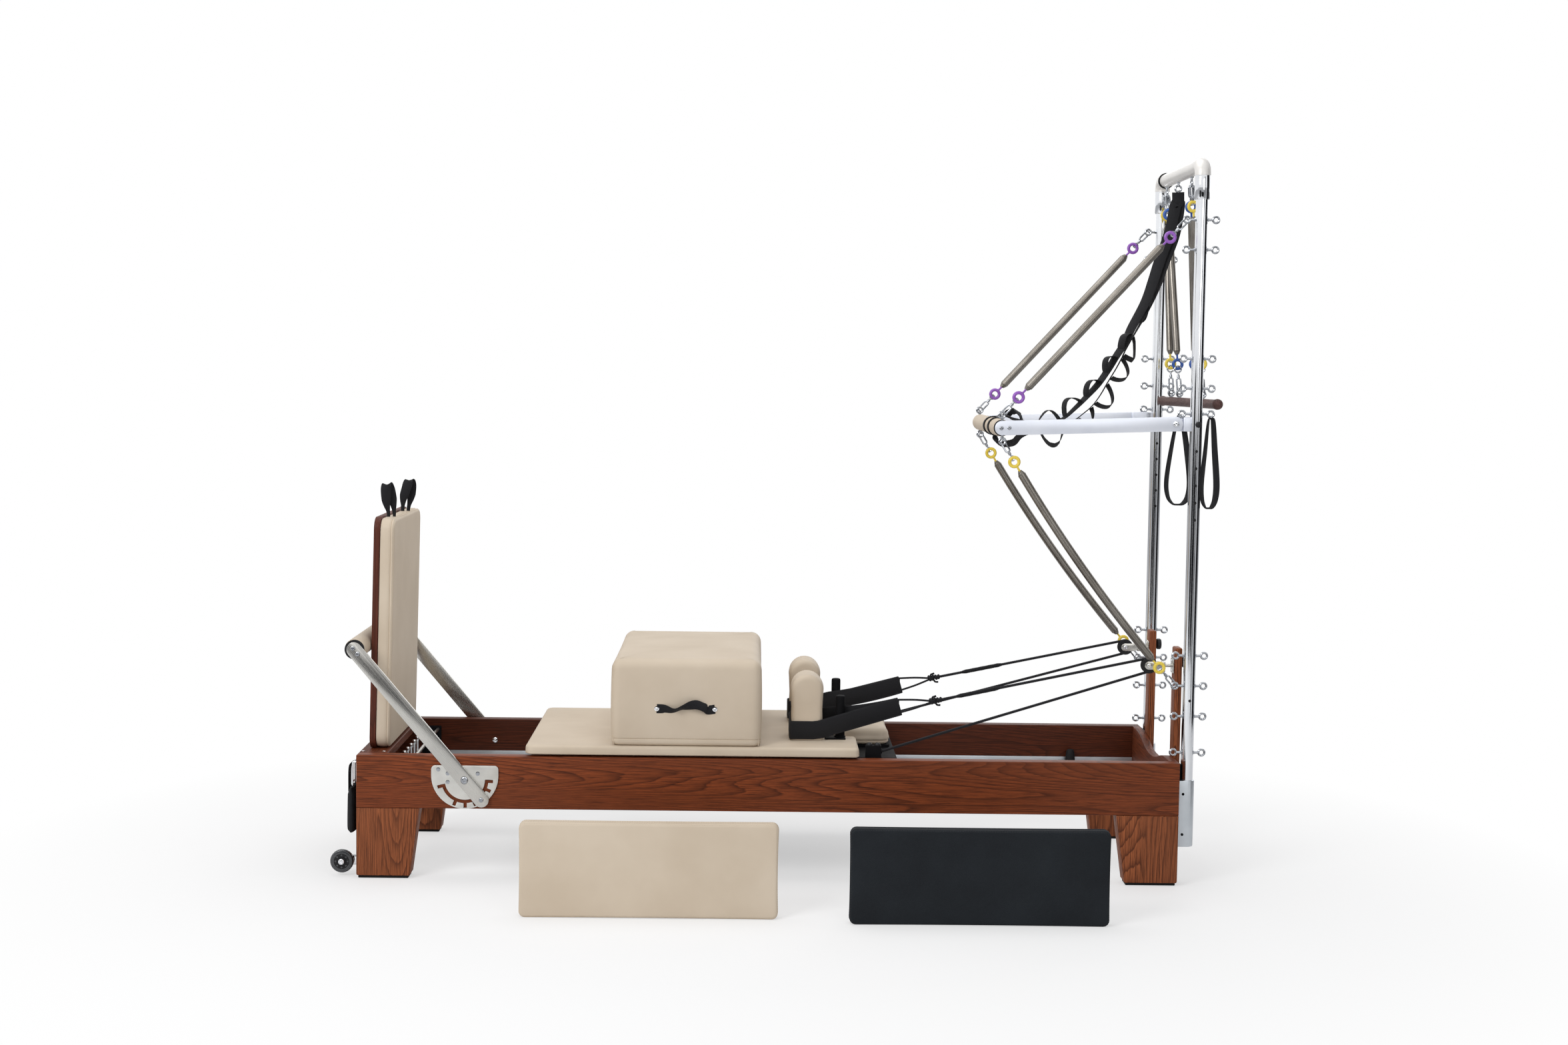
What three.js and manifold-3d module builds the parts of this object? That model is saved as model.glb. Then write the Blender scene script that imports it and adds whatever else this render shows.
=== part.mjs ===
// A wooden reformer with a half tower: sprung push-through bar, roll-down bar, sliding
// carriage, footbar, jump board, sitting box and two filler mats that stand in front of it.
// Millimetres, +Z up, +X towards the tower, the near long side at -Y, the floor at Z = 0.

import * as THREE from "three";
import { mergeVertices } from "three/addons/utils/BufferGeometryUtils.js";
import Module from "manifold-3d";

const wasm = await Module();
wasm.setup();

// Clearances
const seam = 0.3;
const runningGap = 0.6;
const softGap = 2;
const overrun = 1;

// Counts of the facets
const rodSides = 8;
const smallSides = 6;
const tubeSides = 16;
const boreSides = 12;
const arcSteps = 6;
const ballRings = 4;
const cornerSteps = 2;
const sidewaysShare = 0.7;

// Wooden frame
const frameLength = 2400;
const frameWidth = 700;
const frameTop = 363;
const railHeight = 155;
const railThickness = 42;
const platformWidth = 85;
const boardThickness = 25;
const scoopDepth = 34;
const scoopHalfWidth = 262;
const legTopWidth = 183;
const legFootWidth = 156;
const legDepth = 70;
const legCornerRadius = 12;
const footPadHeight = 8;
const footPadInset = 5;
const footPadSetBack = 10;
const halfLength = frameLength / 2;
const halfWidth = frameWidth / 2;
const railInner = halfWidth - railThickness;
const railBottom = frameTop - railHeight;
const boardSide = railInner - seam;

// Transport wheels on the foot end
const transportRadius = 34;
const transportWidth = 24;
const transportAxleHeight = 43;
const transportReach = 47;
const transportAxleRadius = 5;
const transportHubRadius = 13;
const transportHubOverhang = 2;
const transportTreadRound = 4;
const transportArmThickness = 6;
const transportArmHeight = 30;
const transportArmNose = 10;
const transportHeadRadius = 9;
const transportHeadThickness = 4;

// Hook and hanging pouch on the foot end
const hookDrop = 31;
const hookRadius = 3;
const pouchInset = 70;
const pouchDrop = 70;
const pouchHeight = 145;
const pouchDepth = 26;
const pouchWidth = 110;
const pouchStandOff = 8;
const pouchCornerRadius = 16;
const pouchEdge = 9;
const pouchCrown = 4;
const hookHeight = frameTop - hookDrop;
const pouchTop = hookHeight - pouchDrop;
const pouchSide = -halfWidth + pouchInset;

// Tracks along the inner faces of the rails
const trackInset = 5;
const trackLift = 1;
const trackHeight = 10;
const trackReach = 38;
const headStopInset = 240;
const stopLength = 26;
const stopHeight = 71;
const stopDepth = 35;
const trackStart = -halfLength + platformWidth + trackInset;
const headStopPlace = halfLength - headStopInset;
const trackBottom = railBottom + trackLift;
const trackTopFace = trackBottom + trackHeight;

// Spring bar with its pegs
const pegInset = 20;
const pegPitch = 63.5;
const pegCount = 5;
const pegStemRadius = 4;
const pegBallRadius = 7;
const pegHeadDrop = 33;
const springBarWidth = 20;
const springBarHeight = 15;
const springBarLift = 16;
const hangRodOffset = 40;
const hangRodRadius = 5;
const endPlateThickness = 6;
const endPlateMargin = 10;
const pegPlace = -halfLength + platformWidth + pegInset;
const pegHeadHeight = frameTop - pegHeadDrop;
const springBarBottom = trackTopFace + springBarLift;
const hangRodPlace = pegPlace + hangRodOffset;

// Quadrant plates and footbar
const footbarPivotInset = 316;
const footbarPivotDrop = 69;
const quadrantRadius = 97.5;
const quadrantDrop = 27;
const quadrantHeight = 127;
const quadrantThickness = 5;
const quadrantCornerRadius = 12;
const footbarReach = 494.6;
const footbarPinReach = 75.3;
const footbarAngle = 130.2;
const footbarArmWidth = 44;
const footbarArmThickness = 6;
const slotInnerRadius = 60;
const slotOuterRadius = 68;
const notchReach = 81;
const notchWidth = 9;
const notchAngles = [-3, -24, -49.8, -67, -89, -113, -164.5];
const pivotBoltRadius = 6;
const pivotHeadRadius = 11;
const pivotHeadThickness = 5;
const pinHeadRadius = 8;
const pinHeadThickness = 4;
const rollRadius = 30;
const footbarPivotPlace = -halfLength + footbarPivotInset;
const footbarPivotHeight = frameTop - footbarPivotDrop;
const quadrantTop = frameTop - quadrantDrop;
const platePlane = halfWidth + seam;
const armPlane = platePlane + quadrantThickness + runningGap;

// Sockets, uprights and crossbar
const uprightStandOff = 27;
const uprightInset = 39;
const uprightRadius = 18;
const uprightTop = 2002;
const socketDrop = 95;
const socketHeight = 196;
const socketDepth = 50.5;
const socketWidth = 46;
const socketFloor = 4;
const spacerTopDrop = 7;
const spacerWidth = 20;
const collarHeight = 72;
const collarRadius = 22;
const elbowRadius = 24;
const elbowFoot = 2;
const crossbarRadius = 18;
const uprightPlace = halfLength + uprightStandOff;
const uprightSide = halfWidth - uprightInset;
const socketBottom = railBottom - socketDrop;
const socketTop = socketBottom + socketHeight;
const collarTop = uprightTop + collarHeight;
const crossbarHeight = collarTop + elbowRadius + elbowFoot;

// Push-through bar
const pushPivotOffset = 59;
const pushPivotHeight = 1353;
const pushReach = 505;
const pushTiltAngle = 2.04;
const pushArmHeight = 42;
const pushArmThickness = 12;
const pushGripRadius = 25;
const pushEyeReach = 38;
const pushBoltRadius = 5;
const pushBoltHeadRadius = 9;
const pushBoltHeadThickness = 4;
const tongueThickness = 6;
const pullPinRadius = 5;
const pullPinReach = 28;
const pullKnobRadius = 9;
const pullKnobLength = 13;
const pushPivotPlace = uprightPlace - pushPivotOffset;

// Eyebolts on the uprights and under the crossbar
const eyeReach = 42;
const eyeRingRadius = 8.5;
const eyeWireRadius = 2;
const eyeRingSteps = 6;
const eyeWireSides = 3;
const eyeGap = 0.5;
const lowEyeRises = [27, 134, 224, 313];
const pushEyeRises = [30, 104, 190];
const topEyeDrops = [145, 59];
const lowerSpringEye = 2;
const loopEye = 4;
const crossbarEyeShares = [-0.4855, 0.1672, 0.7588];
const crossbarEyeDrop = 40;
const hangerSplay = 12;
const hangerOverhang = 3;
const crossbarEyePlaces = crossbarEyeShares.map((share) => share * uprightSide);
const eyeInner = (eyeRingRadius - eyeWireRadius / 2) * Math.cos(Math.PI / eyeRingSteps);
const eyeHeights = [
  ...lowEyeRises.map((rise) => frameTop + rise),
  ...pushEyeRises.map((rise) => pushPivotHeight + rise),
  ...topEyeDrops.map((drop) => uprightTop - drop),
];

// Springs
const springCoilRadius = 8.2;
const springWireRadius = 2;
const springCurls = 6;
const springStub = 70;
const curlSteps = 8;
const curlSides = 5;
const lowerSpringBow = -22;

// Roll-down bar
const rollBarOffset = 39;
const rollBarShift = -5;
const rollBarRise = 58;
const rollBarEndInset = 49;
const rollBarSkewAngle = 6.95;
const rollBarRadius = 14;
const rollBarBallRadius = 16;
const rollBarEyeRise = 26;
const rollBarEyeShares = [-0.4771, -0.2366, 0.3626, 0.6718];
const rollBarHalfLength = uprightSide - rollBarEndInset;
const rollBarEyePlaces = rollBarEyeShares.map((share) => share * rollBarHalfLength);

// Hand loops on the near upright
const loopStrapThickness = 3;
const loopStrapWidth = 24;
const loopHeight = 262;
const innerLoopHalfWidth = 29;
const outerLoopHalfWidth = 20;
const loopTopHalfWidth = 8;
const loopCornerRadius = 18;
const innerLoopInset = 27;
const outerLoopOutset = 3;
const loopHookRadius = 2.2;
const loopHookOverhang = 5;
const innerLoopSide = -uprightSide + innerLoopInset;

// Long looped straps from the crossbar to the push-through bar, in shares of that span
const daisyWidth = 34;
const daisyThickness = 4;
const daisyInset = 27;
const daisySteps = 12;
const daisyFirstShares = [
  [0.86, 0.85, 0.61],
  [0.74, 0.67, 0.38],
  [0.61, 0.44, 0.195],
  [0.42, 0.15, 0.08],
  [0.32, 0.02, 0.028],
  [0.17, 0.01, 0.01],
  [0.07, 0.01, -0.012],
];
const daisySecondShares = [
  [0.87, 0.95, 0.59],
  [0.7, 0.85, 0.285],
  [0.61, 0.56, 0.17],
  [0.48, 0.26, 0.065],
  [0.38, 0.06, 0.008],
  [0.27, 0.04, -0.03],
];

// Risers with the rope pulleys
const riserInset = 103;
const riserWidth = 56;
const riserThickness = 21;
const riserRise = 55.5;
const riserLift = 6;
const knobRadius = 11;
const knobLength = 16;
const pulleyInset = 73;
const pulleyRise = 269.5;
const sheaveRadius = 24;
const sheaveWidth = 16;
const grooveRadius = 16.5;
const pulleyAxleRadius = 4;
const cheekThickness = 2;
const cheekHalfHeight = 12;
const cheekNose = 14;
const swivelStart = 36;
const swivelBlock = 12;
const swivelRadius = 5;
const bracketPlateThickness = 5;
const bracketPlateWidth = 36;
const bracketPlateHeight = 44;
const riserSide = uprightSide - riserInset;
const pulleyPlace = halfLength - pulleyInset;
const pulleyHeight = frameTop + pulleyRise;
const riserTop = pulleyHeight + riserRise;
const riserBottom = railBottom + riserLift;

// Carriage
const carriageSpringLength = 395;
const carriageLength = 1075;
const carriageDepth = 101;
const carriageBoard = 10;
const carriageBeam = 28;
const carriageSideGap = 40;
const padOverhang = 11;
const endDeckLength = 113;
const bumperHeight = 88;
const padLift = 7;
const padThickness = 28;
const padCornerRadius = 26;
const padEdge = 10;
const padCrown = 3;
const padFlatShare = 0.88;
const extensionThickness = 12;
const extensionSideGap = 8;
const footAxleInset = 80;
const headAxleInset = 190;
const wheelRadius = 22;
const wheelWidth = 18;
const wheelSideGap = 7;
const axleRadius = 6;
const cleatOffset = 21;
const cleatLength = 46;
const cleatSideInset = 18;
const cleatWidth = 20;
const cleatHeight = 35;
const carriageSpringLift = 13;
const carriageSpringRadius = 9;
const carriageSpringHook = 35;
const carrierThickness = 11;
const carrierHeight = 22;
const carriageFront = pegPlace + carriageSpringLength;
const carriageEnd = carriageFront + carriageLength;
const carriageBottom = frameTop - carriageDepth;
const padFront = carriageFront - padOverhang;
const padEnd = carriageEnd - endDeckLength;
const padLength = padEnd - padFront;
const padBottom = frameTop + padLift;
const padTop = padBottom + padThickness;
const axleHeight = trackTopFace + wheelRadius + runningGap;
const axlePlaces = [carriageFront + footAxleInset, carriageEnd - headAxleInset];
const cleatPlace = padEnd + cleatOffset;
const cleatSide = railInner - cleatSideInset;
const carriageSpringHeight = springBarBottom + springBarHeight + carriageSpringLift;

// Headrest, shoulder rests and strap posts
const headrestOverlap = 92;
const headrestLength = 192;
const headrestHalfWidth = 130;
const headrestLift = 2;
const headrestThickness = 54;
const headrestCornerRadius = 32;
const headrestEdge = 24;
const headrestCrown = 6;
const shoulderGap = 10;
const shoulderWidth = 96;
const shoulderInner = 100;
const shoulderThickness = 120;
const shoulderHeight = 201;
const shoulderEdge = 18;
const shoulderDrawIn = 4;
const postOffset = 52;
const postInset = 75;
const postRadius = 12;
const postHeight = 125;
const postPlateGap = 6;
const postPlateLength = 62;
const postPlateHalfWidth = 30;
const postPlateThickness = 3;
const headrestStart = padEnd - headrestOverlap;
const headrestBottom = padBottom + headrestLift;
const shoulderStart = headrestStart - shoulderGap - shoulderWidth;
const shoulderEnd = shoulderStart + shoulderWidth;

// Ropes with their strap loops
const ropeRadius = 4;
const ropeSides = 8;
const ropeStartAngle = 97;
const ropeTurnAngle = 200;
const wrapSteps = 10;
const strapThickness = 3;
const strapHeight = 56;
const strapTiltAngle = 11;
const strapRise = 38;
const strapLength = 233;
const strapEndInset = 18;
const strapClearance = 3.5;
const strapCornerRadius = 14;
const cordLength = 91;
const knotOutset = 13;
const knotRise = 120;
const ropeWrap = (grooveRadius + ropeRadius + seam) / Math.cos(radians(ropeTurnAngle / wrapSteps / 2));
const strapEndPlace = shoulderEnd + strapLength;
const strapEndSide = shoulderInner + shoulderThickness - strapEndInset;

// Sitting box
const boxGap = 90;
const boxWidth = 431;
const boxEndGap = 5;
const boxHeight = 247;
const boxCornerRadius = 32;
const boxEdge = 30;
const boxCrown = 4;
const handleWidth = 26;
const handleSpan = 169;
const handleRise = 17;
const handleHeight = 110;
const handleThickness = 3;
const handleStart = 128;
const handleHold = 5;
const boxStart = shoulderStart - boxGap - boxWidth;
const boxLength = frameWidth - 2 * boxEndGap;

// Jump board
const jumpInset = 40;
const jumpPanelThickness = 18;
const jumpPadThickness = 44;
const jumpPadLift = 4;
const jumpWidth = 516;
const jumpHeight = 685;
const jumpLeanAngle = 1.2;
const jumpCornerRadius = 36;
const jumpPadEdge = 14;
const jumpPadCrown = 3;
const jumpLoopPlaces = [-150, 105];
const jumpLoopHeight = 90;
const jumpLoopWidth = 26;
const jumpLoopThickness = 3;
const jumpLoopFoot = 11;
const jumpLoopHalfSpan = 23;
const jumpLoopHold = 10;

// Filler mats standing in front
const matLength = 706;
const matHeight = 262;
const matThickness = 45;
const matCornerRadius = 30;
const matEdge = 12;
const matCrown = 3;
const paleMatInset = 518;
const paleMatStandOff = 391;
const darkMatInset = 276;
const darkMatStandOff = 435;
const paleMatStart = -halfLength + paleMatInset;
const darkMatStart = halfLength - darkMatInset - matLength;
const matPlaces = [
  { name: "pale_mat", start: paleMatStart, standOff: paleMatStandOff, color: 0xd6c6b0 },
  { name: "dark_mat", start: darkMatStart, standOff: darkMatStandOff, color: 0x1f252c },
];

// Upholstery
const cushionSteps = 3;
const cushionSideSteps = 4;
const cushionDrawIn = 3;
const bevelShare = 0.3;
const crownShare = 0.45;

const sides = [
  { name: "near", y: -1 },
  { name: "far", y: 1 },
];

// Finishes
function finish(color, roughness, metalness) {
  return new THREE.MeshStandardMaterial({ color, roughness, metalness });
}
const wood = finish(0x8a4a30, 0.55, 0);
const cream = finish(0xd4c4ac, 0.7, 0);
const chrome = finish(0xc8ccd0, 0.18, 1);
const steel = finish(0xb8b8b2, 0.4, 1);
const paleMetal = finish(0xd6dae2, 0.45, 0.6);
const black = finish(0x1c1c1e, 0.6, 0.1);
const webbing = finish(0x222226, 0.9, 0);
const springSteel = finish(0x8c8880, 0.35, 1);
const darkWood = finish(0x5c403a, 0.5, 0);

function radians(degrees) {
  return THREE.MathUtils.degToRad(degrees);
}

// Solids: a closed mesh becomes a manifold, and a manifold becomes a mesh again
function solid(geometry) {
  const bare = geometry.index ? geometry.clone() : geometry;
  bare.deleteAttribute("normal");
  bare.deleteAttribute("uv");
  const welded = mergeVertices(bare);
  const vertProperties = new Float32Array(welded.attributes.position.array);
  const triVerts = new Uint32Array(welded.index.array);
  return new wasm.Manifold(new wasm.Mesh({ numProp: 3, vertProperties, triVerts }));
}

function meshGeometry(manifold) {
  const mesh = manifold.getMesh();
  const geometry = new THREE.BufferGeometry();
  const points = new Float32Array(mesh.vertProperties);
  geometry.setAttribute("position", new THREE.BufferAttribute(points, 3));
  geometry.setIndex(new THREE.BufferAttribute(new Uint32Array(mesh.triVerts), 1));
  geometry.computeVertexNormals();
  return geometry;
}

function joined(geometries) {
  const [first, ...others] = geometries.map(solid);
  return others.reduce((whole, piece) => whole.add(piece), first);
}

function cut(manifold, geometries) {
  return geometries.map(solid).reduce((whole, piece) => whole.subtract(piece), manifold);
}

function piece(parent, name, manifold, material) {
  const mesh = new THREE.Mesh(meshGeometry(manifold), material);
  mesh.name = name;
  parent.add(mesh);
  return mesh;
}

// A box from its lowest to its highest corner
function block(low, high) {
  const size = new THREE.Vector3().subVectors(high, low);
  const middle = new THREE.Vector3().addVectors(low, high).multiplyScalar(0.5);
  return new THREE.BoxGeometry(size.x, size.y, size.z).translate(middle.x, middle.y, middle.z);
}

function at(x, y, z) {
  return new THREE.Vector3(x, y, z);
}
const down = at(0, 0, -1);

// A box between two rails' depths that mirrors to either side of the middle plane
function sideBlock(side, x0, x1, inner, outer, z0, z1) {
  const low = Math.min(side.y * inner, side.y * outer);
  const high = Math.max(side.y * inner, side.y * outer);
  return block(at(x0, low, z0), at(x1, high, z1));
}

function rod(from, to, radius, facets = rodSides) {
  const along = new THREE.Vector3().subVectors(to, from);
  const geometry = new THREE.CylinderGeometry(radius, radius, along.length(), facets);
  const up = at(0, 1, 0);
  geometry.applyQuaternion(new THREE.Quaternion().setFromUnitVectors(up, along.clone().normalize()));
  const middle = new THREE.Vector3().addVectors(from, to).multiplyScalar(0.5);
  return geometry.translate(middle.x, middle.y, middle.z);
}

function ball(place, radius) {
  const geometry = new THREE.SphereGeometry(radius, rodSides, ballRings);
  return geometry.translate(place.x, place.y, place.z);
}

// An eye ring whose hole runs along Y
function eyeRing(place) {
  const ring = new THREE.TorusGeometry(eyeRingRadius, eyeWireRadius, eyeWireSides, eyeRingSteps);
  return ring.rotateX(Math.PI / 2).translate(place.x, place.y, place.z);
}

// How far a faceted eye ring reaches towards a direction, with a wire's end standing off it
function eyeEdge(direction) {
  const facet = (2 * Math.PI) / eyeRingSteps;
  const angle = Math.atan2(direction.z, direction.x) + 2 * Math.PI;
  const offFlat = (angle % facet) - facet / 2;
  const flat = (eyeRingRadius + eyeWireRadius) * Math.cos(facet / 2);
  return flat / Math.cos(offFlat) + springWireRadius * Math.abs(Math.tan(offFlat)) + eyeGap;
}

// An outline drawn in X and Z, made solid along Y from y0 to y1
function plate(shape, y0, y1) {
  const geometry = new THREE.ExtrudeGeometry(shape, {
    depth: y1 - y0,
    bevelEnabled: false,
    curveSegments: arcSteps,
  });
  return geometry.rotateX(Math.PI / 2).translate(0, y1, 0);
}

function polygon(points) {
  return new THREE.Shape(points.map(([x, y]) => new THREE.Vector2(x, y)));
}

function roundedRectangle(x0, x1, y0, y1, radius) {
  const shape = new THREE.Shape();
  shape.moveTo(x0 + radius, y0);
  shape.lineTo(x1 - radius, y0);
  shape.absarc(x1 - radius, y0 + radius, radius, -Math.PI / 2, 0);
  shape.lineTo(x1, y1 - radius);
  shape.absarc(x1 - radius, y1 - radius, radius, 0, Math.PI / 2);
  shape.lineTo(x0 + radius, y1);
  shape.absarc(x0 + radius, y1 - radius, radius, Math.PI / 2, Math.PI);
  shape.lineTo(x0, y0 + radius);
  shape.absarc(x0 + radius, y0 + radius, radius, Math.PI, 1.5 * Math.PI);
  return shape;
}

// Rings of points, each joined to the next and closed at both ends by its own middle point
function ringedSolid(rings) {
  const count = rings[0].length;
  const positions = rings.flat().flatMap((point) => [point.x, point.y, point.z]);
  const triangles = [];
  for (let ring = 0; ring + 1 < rings.length; ring += 1) {
    for (let index = 0; index < count; index += 1) {
      const next = (index + 1) % count;
      const a = ring * count + index;
      const b = ring * count + next;
      const c = a + count;
      const d = b + count;
      triangles.push(a, b, d, a, d, c);
    }
  }
  const ends = [rings[0], rings[rings.length - 1]];
  ends.forEach((end, which) => {
    const middle = end.reduce((sum, point) => sum.clone().add(point)).divideScalar(count);
    const centre = positions.length / 3;
    positions.push(middle.x, middle.y, middle.z);
    const start = which * (rings.length - 1) * count;
    for (let index = 0; index < count; index += 1) {
      const here = start + index;
      const next = start + ((index + 1) % count);
      triangles.push(...(which ? [centre, here, next] : [centre, next, here]));
    }
  });
  const geometry = new THREE.BufferGeometry();
  geometry.setAttribute("position", new THREE.Float32BufferAttribute(positions, 3));
  geometry.setIndex(triangles);
  return geometry;
}

// An upholstered pad: drawn-in sides, a rounded edge round the top and a crown on it
function cushion(width, length, height, radius, edge, crown, flatShare = crownShare) {
  const outline = cushionOutline(width, length, radius);
  const bevel = edge * bevelShare;
  const levels = [
    { z: 0, inset: bevel, drawn: bevelShare },
    { z: bevel, inset: 0, drawn: 1 },
    { z: height - crown - edge, inset: 0, drawn: 1 },
    { z: height - crown - bevel, inset: bevel, drawn: bevelShare },
    { z: height - crown, inset: edge, drawn: 0 },
  ];
  const rings = levels.map(({ z, inset, drawn }) =>
    outline.map(({ point, normal, draw }) => {
      const moved = point.clone().addScaledVector(normal, -inset - draw * drawn);
      return at(moved.x, moved.y, z);
    }),
  );
  const rim = rings[rings.length - 1];
  rings.push(rim.map((point) => at(point.x * flatShare, point.y * flatShare, height)));
  return ringedSolid(rings);
}

// Points round a rounded rectangle, each with the way it faces and how far it is drawn in
function cushionOutline(width, length, radius) {
  const corners = [
    [1, -1],
    [1, 1],
    [-1, 1],
    [-1, -1],
  ];
  const halfX = width / 2 - radius;
  const halfY = length / 2 - radius;
  const centres = corners.map(([a, b]) => new THREE.Vector2(a * halfX, b * halfY));
  const outline = [];
  centres.forEach((centre, corner) => {
    for (let step = 0; step <= cushionSteps; step += 1) {
      const angle = ((corner - 1 + step / cushionSteps) * Math.PI) / 2;
      const normal = new THREE.Vector2(Math.cos(angle), Math.sin(angle));
      outline.push({ point: centre.clone().addScaledVector(normal, radius), normal, draw: 0 });
    }
    const { point, normal } = outline[outline.length - 1];
    const target = centres[(corner + 1) % corners.length].clone().addScaledVector(normal, radius);
    for (let step = 1; step < cushionSideSteps; step += 1) {
      const share = step / cushionSideSteps;
      const draw = cushionDrawIn * Math.sin(Math.PI * share);
      outline.push({ point: point.clone().lerp(target, share), normal, draw });
    }
  });
  return outline;
}

// An open path in the plane, thickened to both sides
function ribbon(path, thickness) {
  const shifted = (distance) =>
    path.map((point, index) => {
      const before = path[Math.max(index - 1, 0)];
      const after = path[Math.min(index + 1, path.length - 1)];
      const along = new THREE.Vector2().subVectors(after, before).normalize();
      return new THREE.Vector2(point.x + along.y * distance, point.y - along.x * distance);
    });
  return new THREE.Shape([...shifted(thickness / 2), ...shifted(-thickness / 2).reverse()]);
}

// A closed strap: the loop of points in X and Y, thickened to both sides, raised along Z
function strapLoop(points, thickness, height) {
  const offset = (distance) =>
    points.map((point, index) => {
      const before = points[(index + points.length - 1) % points.length];
      const after = points[(index + 1) % points.length];
      const along = new THREE.Vector2().subVectors(after, before).normalize();
      return new THREE.Vector2(point.x + along.y * distance, point.y - along.x * distance);
    });
  const shape = new THREE.Shape(offset(thickness / 2));
  shape.holes.push(new THREE.Path(offset(-thickness / 2)));
  return new THREE.ExtrudeGeometry(shape, { depth: height, bevelEnabled: false });
}

// Points round an outline whose corners are rounded
function roundedLoop(corners, radius) {
  const points = [];
  corners.forEach((corner, index) => {
    const before = corners[(index + corners.length - 1) % corners.length];
    const after = corners[(index + 1) % corners.length];
    const toBefore = new THREE.Vector2().subVectors(before, corner);
    const toAfter = new THREE.Vector2().subVectors(after, corner);
    const reach = Math.min(radius, toBefore.length() / 2, toAfter.length() / 2);
    const start = corner.clone().addScaledVector(toBefore.normalize(), reach);
    const end = corner.clone().addScaledVector(toAfter.normalize(), reach);
    const curve = new THREE.QuadraticBezierCurve(start, corner, end);
    points.push(...curve.getPoints(cornerSteps));
  });
  return points;
}

// A flat strap along a path of points, its width lying along the given direction
function flatStrap(path, across, width, thickness) {
  const curve = new THREE.CatmullRomCurve3(path);
  const rings = [];
  for (let step = 0; step <= daisySteps; step += 1) {
    const share = step / daisySteps;
    const middle = curve.getPointAt(share);
    const along = curve.getTangentAt(share);
    const wide = across.clone().addScaledVector(along, -across.dot(along)).normalize();
    const thin = new THREE.Vector3().crossVectors(along, wide);
    const corners = [
      [-1, -1],
      [1, -1],
      [1, 1],
      [-1, 1],
    ];
    rings.push(
      corners.map(([a, b]) =>
        middle
          .clone()
          .addScaledVector(wide, (a * width) / 2)
          .addScaledVector(thin, (b * thickness) / 2),
      ),
    );
  }
  return ringedSolid(rings);
}

// A coil spring between two points: a straight stub at each end and curls between them
let leastCurlGap = Infinity;
function spring(from, to, stub, bow = 0) {
  const along = new THREE.Vector3().subVectors(to, from);
  const length = along.length();
  along.normalize();
  const side = at(0, 1, 0);
  const lift = new THREE.Vector3().crossVectors(along, side).normalize();
  const steps = springCurls * curlSteps;
  const turns = [{ share: 0, radius: 0, angle: 0 }];
  for (let step = 0; step <= steps; step += 1) {
    const share = (stub + (step / steps) * (length - 2 * stub)) / length;
    const grown = Math.min(1, Math.min(step, steps - step) / (curlSteps / 2));
    turns.push({ share, radius: springCoilRadius * grown, angle: (step / curlSteps) * 2 * Math.PI });
  }
  turns.push({ share: 1, radius: 0, angle: 0 });
  const points = turns.map(({ share, radius, angle }) =>
    from
      .clone()
      .addScaledVector(along, share * length)
      .addScaledVector(lift, 4 * bow * share * (1 - share) + radius * Math.cos(angle))
      .addScaledVector(side, radius * Math.sin(angle)),
  );
  measureCurls(points);
  return ringedSolid(tubeRings(points, springWireRadius, curlSides));
}

// Least gap between stretches of one wire that are half a turn or more apart
function measureCurls(points) {
  points.forEach((point, index) => {
    points.slice(index + curlSteps / 2).forEach((other) => {
      leastCurlGap = Math.min(leastCurlGap, point.distanceTo(other) - 2 * springWireRadius);
    });
  });
}

// Rings of a round tube through points, each square to the way the tube runs there
function tubeRings(points, radius, facets) {
  const first = new THREE.Vector3().subVectors(points[1], points[0]).normalize();
  let wide = Math.abs(first.y) < sidewaysShare ? at(0, 1, 0) : at(1, 0, 0);
  return points.map((point, index) => {
    const before = points[Math.max(index - 1, 0)];
    const after = points[Math.min(index + 1, points.length - 1)];
    const along = new THREE.Vector3().subVectors(after, before).normalize();
    wide = wide.clone().addScaledVector(along, -wide.dot(along)).normalize();
    const thin = new THREE.Vector3().crossVectors(along, wide);
    const ring = [];
    for (let facet = 0; facet < facets; facet += 1) {
      const angle = (facet / facets) * 2 * Math.PI;
      ring.push(
        point
          .clone()
          .addScaledVector(wide, radius * Math.cos(angle))
          .addScaledVector(thin, radius * Math.sin(angle)),
      );
    }
    return ring;
  });
}

// Wooden frame
function addFrame(parent) {
  for (const side of sides) {
    const rail = sideBlock(side, -halfLength, halfLength, railInner, halfWidth, railBottom, frameTop);
    piece(parent, side.name + "_rail", joined([rail]), wood);
    piece(parent, "foot_" + side.name + "_leg", footLeg(side), wood);
    piece(parent, "head_" + side.name + "_leg", headLeg(side), wood);
    piece(parent, side.name + "_track", track(side), paleMetal);
  }
  piece(parent, "foot_end_board", footEndBoard(), wood);
  piece(parent, "head_end_panel", headEndPanel(), wood);
}

// A leg drawn at the foot end; the head end mirrors its outline
function legSolid(side, end) {
  const outer = end * halfLength;
  const top = railBottom - seam;
  const foot = outer - end * legFootWidth;
  const shape = new THREE.Shape();
  shape.moveTo(outer, top);
  shape.lineTo(outer, footPadHeight + legCornerRadius);
  shape.quadraticCurveTo(outer, footPadHeight, outer - end * legCornerRadius, footPadHeight);
  shape.lineTo(foot + end * legCornerRadius, footPadHeight);
  shape.quadraticCurveTo(foot, footPadHeight, foot - end * legSlant(), footPadHeight + legCornerRadius);
  shape.lineTo(outer - end * legTopWidth, top);
  const low = Math.min(side.y * halfWidth, side.y * (halfWidth - legDepth));
  const body = plate(shape, low, low + legDepth);
  const padEnds = [outer - end * footPadSetBack, foot + end * footPadSetBack];
  const pad = block(
    at(Math.min(...padEnds), low + footPadInset, 0),
    at(Math.max(...padEnds), low + legDepth - footPadInset, footPadHeight + overrun),
  );
  return joined([body, pad]);
}

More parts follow.
